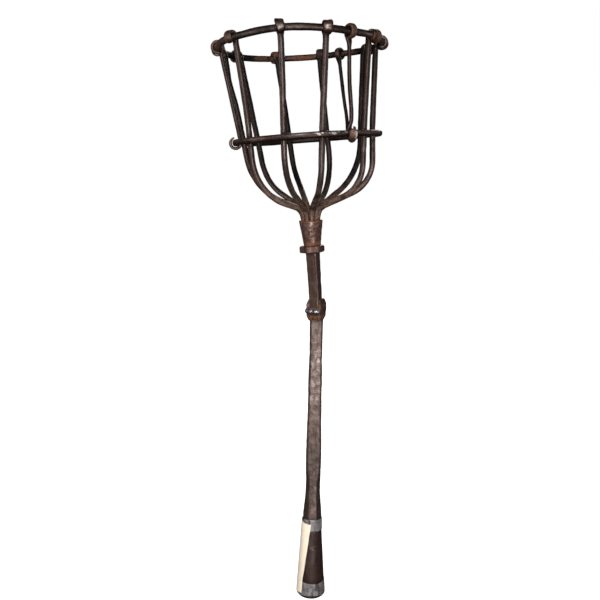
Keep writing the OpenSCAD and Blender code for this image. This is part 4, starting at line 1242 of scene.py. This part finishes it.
def make_shaft():
    zs = np.r_[np.arange(115.5, 417, 1.1), 417.6]

    def radius(z, az):
        zc = np.clip(z, 116.5, 417.5)
        wx, wy, cut = rows_at(SHAFT_ROWS, zc, 3.0)
        p_ = 36.0
        base = octagon(az, wx, wy, cut, p_)
        p = np.c_[base * sind(az), -base * cosd(az), z]
        corner = corner_ness(az, 45, 8)
        s = az / 360 * 70
        ham = np.minimum(hammered(s, z - 115, 70.0, 300.0, 230, 55.0, 0.30, 41), 0.2)
        r = base + ham + 0.13 * fbm(p, 11, 140, 3) + 0.06 * noise(p, 2.8, 144)
        r = r - corner * (0.30 * np.abs(noise(p, 5, 141)) + 0.35 * smooth(noise(p, 9, 142), 0.35, 0.7)) * smooth(z, 180, 215)
        # the notch worn in the left edge
        r = r - 0.9 * np.exp(-(((z - 311) / 3.4) ** 2)) * np.exp(-(((az - 300) / 24) ** 2))
        return r

    V, F, az = lathe(zs, radius, 136, 4, 4)
    z = V[:, 2]
    p = V.copy()
    front = ((az < 38) | (az > 322)).astype(float)
    flare = 1 - smooth(z, 165, 212)
    facet = ((az > 24) & (az < 67)) | ((az > 293) & (az < 336))
    side = 1 - front
    silver = np.exp(-(((z - 330) / 60) ** 2))
    # the front face painted lighter: worn silver patches and a painted highlight
    wear_and_highlight = (0.18 + 0.55 * silver * (0.5 + 0.9 * noise(p, 6, 145)).clip(0, 1) + 0.25 * (0.5 + 0.8 * noise(p, 14, 146)).clip(0, 1)) * front
    wear_and_highlight = wear_and_highlight + 0.25 * corner_ness(az, 45, 4) * smooth(z, 200, 220)
    brown = np.exp(-(((z - 270) / 20) ** 2)) + 0.85 * np.exp(-(((z - 405) / 20) ** 2))
    bloom = 0.18 + 0.55 * brown * (0.5 + 0.9 * noise(p, 9, 147)).clip(0, 1) + 0.5 * side * (1 - flare) * 0.5
    # the side faces and the flare's facets painted dark: painted shade; darker towards the top and under the knuckle,
    # with dark blotches on the front
    soot_and_shade = 0.50 * flare * facet + 0.25 * side * (1 - flare) + 0.30 * smooth(z, 372, 400) + 0.35 * smooth(z, 410, 416) + 0.35 * np.clip(noise(p, 16, 148), 0, 1) * front * (1 - silver) + 0.5 * flare * (side * ~facet)
    tan = 0.55 * np.exp(-(((z - 405) / 24) ** 2)) + 0.45 * np.exp(-(((z - 268) / 24) ** 2)) + 0.12
    rust = 0.12 + 0.16 * brown * (0.5 + 0.9 * noise(p, 8, 149)).clip(0, 1) + 0.10 * np.clip(noise(p, 20, 150), 0, 1)
    mesh_piece(
        "lower_shaft_forged", V, F, "frame", ["lower_shaft"], IRON_SHAFT,
        {"flow": V[:, [2, 0, 1]] * 0.001, "tan": tan * (0.6 + 0.8 * noise(p, 9, 151)).clip(0, 1), "soot_and_shade": np.clip(soot_and_shade, 0, 1), "bloom": np.clip(bloom, 0, 1), "rust": np.clip(rust, 0, 1), "wear_and_highlight": np.clip(wear_and_highlight, 0, 1)},
    )


make_shaft()

# ---------------------------------------------------------------- socket, bands, rivet and label


def socket_r(z):
    return SOCKET_R0 + (SOCKET_R1 - SOCKET_R0) * z / SOCKET_H


def make_socket():
    m = 160
    az = np.arange(m) * 360.0 / m
    zs = np.r_[0.0, 0.25, 0.7, 1.3, np.linspace(2, SOCKET_H, 80)]
    Z, A = np.meshgrid(zs, az, indexing="ij")
    z, a = Z.ravel(), A.ravel()
    R = socket_r(z)
    p = np.c_[R * sind(a), -R * cosd(a), z]
    lapped = 0.35 * smooth(np.abs((a - 197 + 180) % 360 - 180), 3.0, 1.0)
    r = R - 0.08 + 0.14 * fbm(p, 14, 160, 2) + 0.05 * noise(p, 4, 161) - lapped
    # two small dents on the front
    for da, dz_, rad_, dep in ((4, 81, 4.2, 0.5), (-22, 72, 3.4, 0.45), (24, 52, 5.0, 0.3)):
        dd = ((((a - da + 180) % 360 - 180) * R * math.pi / 180) ** 2 + (z - dz_) ** 2) / rad_**2
        r = r - dep * np.exp(-dd)
    lip = smooth(-z, -1.3, 0)
    r = np.where(z < 1.4, R + 0.25 - 0.8 * lip, r)
    outer = np.c_[r * sind(a), -r * cosd(a), z]
    zi = np.r_[0.0, 0.8, 2.0, np.linspace(5, BORE_LEN, 18), np.linspace(BORE_LEN + 2, 90, 14)]
    ri = np.where(zi <= BORE_LEN, BORE_R, BORE_R + (11.8 - BORE_R) * (zi - BORE_LEN) / (90 - BORE_LEN))
    ri = ri + np.array([1.0, 0.35] + [0.05] * (len(zi) - 2))
    inner = []
    for rr, zz in zip(ri, zi):
        wob = 0.10 * noise(np.c_[cosd(az) * 16, sind(az) * 16, az * 0 + zz], 9, 163)
        inner.append(np.c_[(rr + wob) * sind(az), -(rr + wob) * cosd(az), az * 0 + zz])
    cap = [np.c_[11.8 * q * sind(az), -11.8 * q * cosd(az), az * 0 + 90.0] for q in (0.66, 0.33)]
    roof = [np.c_[(SOCKET_R1 - 0.1) * q * sind(az), -(SOCKET_R1 - 0.1) * q * cosd(az), az * 0 + SOCKET_H] for q in (0.7, 0.4)]
    # rings run from the roof down the outside, round the lip, up the bore and to its end
    out_rows = [outer[i * m : (i + 1) * m] for i in range(len(zs))][::-1]
    rows = roof[::-1] + out_rows + inner + cap
    V = np.vstack(rows)
    F = [f[::-1] for f in tube_faces(len(rows), m)]
    c0, c1 = len(V), len(V) + 1
    V = np.vstack([V, [0, 0, SOCKET_H], [0, 0, 90.0]])
    n = len(rows)
    for k in range(m):
        F.append((c0, k, (k + 1) % m))
        F.append((c1, (n - 1) * m + (k + 1) % m, (n - 1) * m + k))
    zz = V[:, 2]
    azv = np.degrees(np.arctan2(V[:, 0], -V[:, 1]))
    radial = np.hypot(V[:, 0], V[:, 1])
    inside = (radial < socket_r(zz) - 2.0).astype(float)
    tan = 0.55 * np.exp(-(((azv + 18) / 13) ** 2)) * smooth(zz, 20, 60) * (0.4 + 0.9 * noise(V, 9, 168)).clip(0, 1)
    # a painted highlight down the front, and painted highlights at two dents
    wear_and_highlight = 0.10 + 0.65 * np.exp(-((azv - 6) / 11) ** 2) * smooth(zz, 25, 60) * (0.5 + 0.8 * noise(V, 7, 165)).clip(0, 1)
    for da, dz_ in ((4, 84), (-22, 75)):
        wear_and_highlight = wear_and_highlight + 0.5 * np.exp(-(((azv - da) / 9) ** 2) - ((zz - dz_) / 2.0) ** 2)
    # the bore, the lip of the mouth and the right side painted dark: painted shade; darker towards the bottom
    soot_and_shade = 0.85 * inside + 0.25 * (1 - smooth(zz, 24, 32)) + 0.9 * (1 - smooth(zz, 3.8, 4.8)) + 0.25 * smooth(azv, 35, 70)
    rust = 0.10 + 0.07 * noise(V, 18, 166) + 0.30 * inside
    bloom = 0.30 + 0.25 * noise(V, 20, 167)
    mesh_piece(
        "pole_socket_forged", V, F, "frame", ["pole_socket"], IRON_SMOOTH,
        {"flow": V[:, [2, 0, 1]] * 0.001, "tan": tan, "soot_and_shade": np.clip(soot_and_shade, 0, 1), "bloom": np.clip(bloom, 0, 1), "rust": np.clip(rust, 0, 1), "wear_and_highlight": np.clip(wear_and_highlight, 0, 1)},
    )


def shell(z_low, z_high, r_out, r_in, m, n, rough, seed):
    """A thin ring of sheet between two heights that may change with azimuth."""
    az = np.arange(m) * 360.0 / m
    rows = []
    ts = np.r_[0, 0.02, 0.05, np.linspace(0.09, 0.91, n), 0.95, 0.98, 1.0]
    for q in ts:
        z = z_low(az) + (z_high(az) - z_low(az)) * q
        e = min(q, 1 - q)
        r = r_out(az, z) - 0.42 * (1 - min(1, e / 0.06)) ** 2
        p = np.c_[r * sind(az), -r * cosd(az), z]
        r = r + rough * fbm(p, 6, seed, 2) + 0.4 * rough * noise(p, 2.2, seed + 3)
        rows.append(np.c_[r * sind(az), -r * cosd(az), z])
    for q in ts[::-1]:
        z = z_low(az) + (z_high(az) - z_low(az)) * q
        r = np.minimum(r_in(az, z), r_out(az, z) - 0.5)
        rows.append(np.c_[r * sind(az), -r * cosd(az), z])
    V = np.vstack(rows)
    return V, tube_faces(len(rows), m, closed=True), np.tile(az, len(rows))


def make_bands():
    def ang(az, size, seed, r=20.0):
        return noise(np.c_[cosd(az) * r, sind(az) * r, az * 0], size, seed)

    # mouth band
    V, F, az = shell(
        lambda a: 0.45 + 3.4 * np.maximum(0, cosd(a)) ** 2 + 0.3 * ang(a, 9, 170), lambda a: 22.8 - 0.6 * sind(a) + 0.5 * ang(a, 11, 171),
        lambda a, z: socket_r(z) + BAND_T - 0.05 + 0.10 * ang(a, 7, 172), lambda a, z: socket_r(z) - 0.15, 160, 12, 0.10, 173,
    )
    d = (az + 180) % 360 - 180
    streak = noise(np.c_[az * 0.9, V[:, 2] * 0.12, az * 0], 6.0, 174)
    thin = noise(np.c_[az * 0.9, V[:, 2] * 0.08, az * 0], 3.0, 178)
    # the right side and the left of the lower edge painted lighter: painted highlights; light streaks between
    wear_and_highlight = 0.34 + 0.3 * smooth(d, 45, 75) + 0.45 * np.clip(streak, 0, 1) + 0.9 * np.clip(thin, 0, 1) + 0.6 * smooth(-d, 15, 50) * (1 - smooth(V[:, 2], 6, 10)) + 0.2 * np.clip(noise(V, 5, 175), 0, 1)
    low = V[:, 2] + 0.8 - 3.4 * np.maximum(0, cosd(az)) ** 2
    # the lower edge painted dark: painted shade; dark streaks and blotches
    soot_and_shade = 0.40 * np.clip(-streak, 0, 1) + 0.45 * (1 - smooth(low, 1.6, 2.6)) + 0.25 * np.clip(noise(V, 7, 176), 0, 1) + 0.50 * smooth(noise(V * [1, 1, 0.6], 4.2, 177), -0.02, 0.25)
    mesh_piece(
        "socket_mouth_band_sheet", V, F, "frame", ["socket_mouth_band"], BAND,
        {"flow": V[:, [2, 0, 1]] * 0.001, "soot_and_shade": np.clip(soot_and_shade, 0, 1), "bloom": np.full(len(V), 0.16), "rust": np.full(len(V), 0.08), "wear_and_highlight": np.clip(wear_and_highlight, 0, 1)},
    )
    # upper band, dressed over the joint between socket and shaft
    r_low, r_top = socket_r(103.5) + BAND_T, 14.5
    V, F, az = shell(
        lambda a: 102.8 + 1.5 * np.maximum(0, cosd(a)) + 0.6 * ang(a, 9, 180, 15), lambda a: 119.7 + 2.2 * np.maximum(0, cosd(a)) + 0.6 * ang(a, 8, 181, 15),
        lambda a, z: r_low + (r_top - r_low) * (z - 103.5) / 17 - 0.05 + 0.12 * ang(a, 6, 182, 15),
        lambda a, z: np.minimum(socket_r(np.minimum(z, 106)) - 0.15, 13.4), 150, 14, 0.18, 183,
    )
    smear = noise(V * [1, 1, 0.5], 5.5, 184)
    d = (az + 180) % 360 - 180
    # the right side painted lighter: a painted highlight
    wear_and_highlight = 0.36 + 0.45 * smooth(d, 45, 75) + 1.0 * np.clip(noise(V * [1, 1, 0.6], 4.0, 185), 0, 1)
    # dark smears, and the lower edge painted dark: painted shade
    soot_and_shade = 0.85 * smooth(smear, 0.0, 0.25) + 0.25 * (1 - smooth(V[:, 2], 104, 105.5))
    mesh_piece(
        "socket_upper_band_sheet", V, F, "frame", ["socket_upper_band"], BAND,
        {"flow": V[:, [2, 0, 1]] * 0.001 + [0, 0, 0.3], "soot_and_shade": np.clip(soot_and_shade, 0, 1), "bloom": np.clip(0.15 + 0.4 * smear, 0, 1), "rust": np.full(len(V), 0.08), "wear_and_highlight": np.clip(wear_and_highlight, 0, 1)},
    )


def make_rivet():
    """A small domed head, a little off round, on its shank."""
    m = 40
    az = np.arange(m) * 360.0 / m
    prof = [(13.3, 1.6), (14.6, 1.6), (15.4, 1.6), (15.55, 2.55), (15.75, 2.75), (16.0, 2.68), (16.35, 2.4), (16.7, 1.95), (16.95, 1.4), (17.1, 0.8), (17.15, 0.3)]
    rows = []
    for h, r in prof:
        rr = r * (1 + 0.05 * noise(np.c_[cosd(az) * 3, sind(az) * 3, az * 0 + h], 2.5, 190))
        rows.append(np.c_[rr * cosd(az), rr * sind(az), az * 0 + h])
    V = np.vstack(rows)
    F = tube_faces(len(rows), m)
    a, b = len(V), len(V) + 1
    V = np.vstack([V, [0, 0, prof[0][0]], [0, 0, prof[-1][0] + 0.02]])
    n = len(rows)
    for k in range(m):
        F.append((a, (k + 1) % m, k))
        F.append((b, (n - 1) * m + k, (n - 1) * m + (k + 1) % m))
    V = rz(rx(V, 90), 16) + [0, 0, 80]
    # the crown of the head painted lighter: a painted highlight
    top = (V @ np.array([sind(16), -cosd(16), 0])) > 16.3
    mesh_piece(
        "socket_rivet_forged", V, F, "frame", ["socket_rivet"], IRON_SMOOTH,
        {"flow": V[:, [2, 0, 1]] * 0.001, "soot_and_shade": np.full(len(V), 0.1), "bloom": np.full(len(V), 0.3), "rust": np.full(len(V), 0.1), "wear_and_highlight": 0.1 + 0.35 * top},
    )


def make_label():
    """A blank strip of paper up the left side, its front edge askew, a little lifted at its top corner."""
    nz, na = 90, 44
    r0, r1 = SOCKET_R0 + BAND_T + 0.08, socket_r(112) + BAND_T + 0.58
    u = np.linspace(0, 1, nz)
    v = np.linspace(0, 1, na)
    U, W = np.meshgrid(u, v, indexing="ij")
    U, W = U.ravel(), W.ravel()

    def sheet(extra):
        zlow = 0.7 + 6.4 * smooth(W, 0.2, 1.0) + 0.3 * noise(np.c_[W * 20, W * 0, W * 0], 3, 200)
        ztop = 117.8 - 2.0 * smooth(W, 0.05, 0.7) + 0.35 * noise(np.c_[W * 20, W * 0, W * 0], 3, 201)
        z = zlow + (ztop - zlow) * U
        r = r0 + (r1 - r0) * (z - 3) / 115 + extra
        x_front = -14.8 + 0.1228 * z - 1.3 * smooth(z, 6, 34) + 0.18 * noise(np.c_[z, z * 0, z * 0], 16, 202)
        az_front = np.degrees(np.arcsin(np.clip(x_front / r, -1, 1)))
        az = -117.5 + (az_front + 117.5) * W
        lift = 0.30 * smooth(W, 0.80, 1.0) * (0.5 + 0.5 * noise(np.c_[z, z * 0, z * 0], 24, 203)) + 0.5 * smooth(W, 0.7, 1) * smooth(U, 0.92, 1.0)
        p = np.c_[r * sind(az), -r * cosd(az), z]
        r = r + lift + 0.10 * (1 + fbm(p, 16, 204, 2))
        return np.c_[r * sind(az), -r * cosd(az), z]

    top, low = sheet(0.28), sheet(0.0)
    n = nz * na
    V = np.vstack([top, low])
    F = []
    for i in range(nz - 1):
        for j in range(na - 1):
            a = i * na + j
            F.append((a, a + 1, a + na + 1, a + na))
            F.append((n + a, n + a + na, n + a + na + 1, n + a + 1))
    for i in range(nz - 1):
        a, b = i * na, (i + 1) * na
        F.append((a, b, n + b, n + a))
        a, b = i * na + na - 1, (i + 1) * na + na - 1
        F.append((b, a, n + a, n + b))
    for j in range(na - 1):
        F.append((j + 1, j, n + j, n + j + 1))
        a = (nz - 1) * na + j
        F.append((a, a + 1, n + a + 1, n + a))
    # the left part painted as shade and the front edge as a highlight
    shaded_side_tint = np.tile(1 - smooth(W, 0.35, 0.72), 2)
    edge = np.tile(smooth(W, 0.955, 1.0), 2)
    mesh_piece(
        "inventory_label_paper", V, F, "frame", ["inventory_label"], PAPER,
        {"flow": V[:, [2, 0, 1]] * 0.001, "shaded_side_tint": shaded_side_tint, "edge": edge}, sharp=50,
    )


make_socket()
make_bands()
make_rivet()
make_label()

# ---------------------------------------------------------------- stage, light and camera


def stage_material(name, glow, white=(1.0, 1.0, 1.0)):
    m = bpy.data.materials.new(name)
    m.use_nodes = True
    t = m.node_tree
    t.nodes.clear()
    out = t.nodes.new("ShaderNodeOutputMaterial")
    e = t.nodes.new("ShaderNodeEmission")
    e.inputs["Color"].default_value = (*white, 1.0)
    e.inputs["Strength"].default_value = glow
    if glow >= 1.0:
        t.links.new(e.outputs[0], out.inputs["Surface"])
        return m
    d = t.nodes.new("ShaderNodeBsdfDiffuse")
    d.inputs["Color"].default_value = (0.9, 0.9, 0.9, 1.0)
    add = t.nodes.new("ShaderNodeAddShader")
    t.links.new(e.outputs[0], add.inputs[0])
    t.links.new(d.outputs[0], add.inputs[1])
    t.links.new(add.outputs[0], out.inputs["Surface"])
    return m


def stage_mesh(name, verts, faces, material):
    me = bpy.data.meshes.new(name)
    me.from_pydata(verts, [], faces)
    me.materials.append(material)
    o = bpy.data.objects.new(name, me)
    bpy.context.scene.collection.objects.link(o)
    o.visible_glossy = False
    o.visible_diffuse = False
    o.visible_shadow = False
    return o


def make_stage():
    n = 72
    rad_ = 4.0
    ang = [2 * math.pi * k / n for k in range(n)]
    fl = [(rad_ * math.cos(a), rad_ * math.sin(a), -0.001) for a in ang]
    stage_mesh("studio_floor", fl, [tuple(range(n))], stage_material("studio_floor_white", 0.98))
    verts, faces = [], []
    for j in range(13):
        e = math.pi / 2 * j / 12
        for a in ang:
            verts.append((rad_ * math.cos(a) * math.cos(e), rad_ * math.sin(a) * math.cos(e), -0.001 + rad_ * math.sin(e)))
    for j in range(12):
        for k in range(n):
            a, b = j * n + k, j * n + (k + 1) % n
            faces.append((a, a + n, b + n, b))
    stage_mesh("studio_backdrop", verts, faces, stage_material("studio_backdrop_white", 1.0))


def area_light(name, at, aim, w, h, power, color=(1, 1, 1)):
    d = bpy.data.lights.new(name, "AREA")
    d.shape = "RECTANGLE"
    d.size, d.size_y = w, h
    d.energy = power
    d.color = color
    o = bpy.data.objects.new(name, d)
    o.location = at
    o.rotation_euler = (Vector(aim) - Vector(at)).to_track_quat("-Z", "Y").to_euler()
    bpy.context.scene.collection.objects.link(o)
    o.visible_camera = False
    return o


make_stage()
WARM = (1.0, 0.965, 0.94)
area_light("softbox_front_high", (-0.35, -2.1, 1.75), (0, 0, 0.45), 1.2, 1.3, 50, WARM)
area_light("softbox_front_low", (0.25, -2.0, 0.15), (0, 0, 0.5), 1.2, 0.7, 26, WARM)
area_light("softbox_left", (-2.2, -0.5, 0.9), (0, 0, 0.45), 0.8, 1.4, 12, WARM)
area_light("softbox_right", (2.2, 0.2, 0.9), (0, 0, 0.45), 0.6, 1.4, 7, WARM)
area_light("softbox_back", (0.4, 2.4, 1.7), (0, 0, 0.45), 1.4, 1.2, 20)

world = bpy.data.worlds.new("studio_world")
world.use_nodes = True
bg = world.node_tree.nodes["Background"]
bg.inputs["Color"].default_value = (1.0, 1.0, 1.0, 1.0)
bg.inputs["Strength"].default_value = 0.025
bpy.context.scene.world = world

pitch, roll = math.radians(11.26), math.radians(0.95)
fw = Vector((0, math.cos(pitch), -math.sin(pitch)))
right = Vector((1, 0, 0))
up = right.cross(fw)
r2 = right * math.cos(roll) + up * math.sin(roll)
u2 = -right * math.sin(roll) + up * math.cos(roll)
cam_data = bpy.data.cameras.new("camera")
cam_data.sensor_width = 36.0
cam_data.lens = 42.0
cam_data.clip_start, cam_data.clip_end = 0.05, 50.0
cam = bpy.data.objects.new("camera", cam_data)
rot = Matrix((r2, u2, -fw)).transposed().to_4x4()
cam.matrix_world = Matrix.Translation((-0.0232, -0.945, 0.6323)) @ rot
bpy.context.scene.collection.objects.link(cam)
bpy.context.scene.camera = cam
bpy.context.scene.view_settings.view_transform = "Standard"
bpy.context.scene.view_settings.look = "None"
bpy.context.scene.view_settings.exposure = 0.0
bpy.context.scene.view_settings.gamma = 1.0
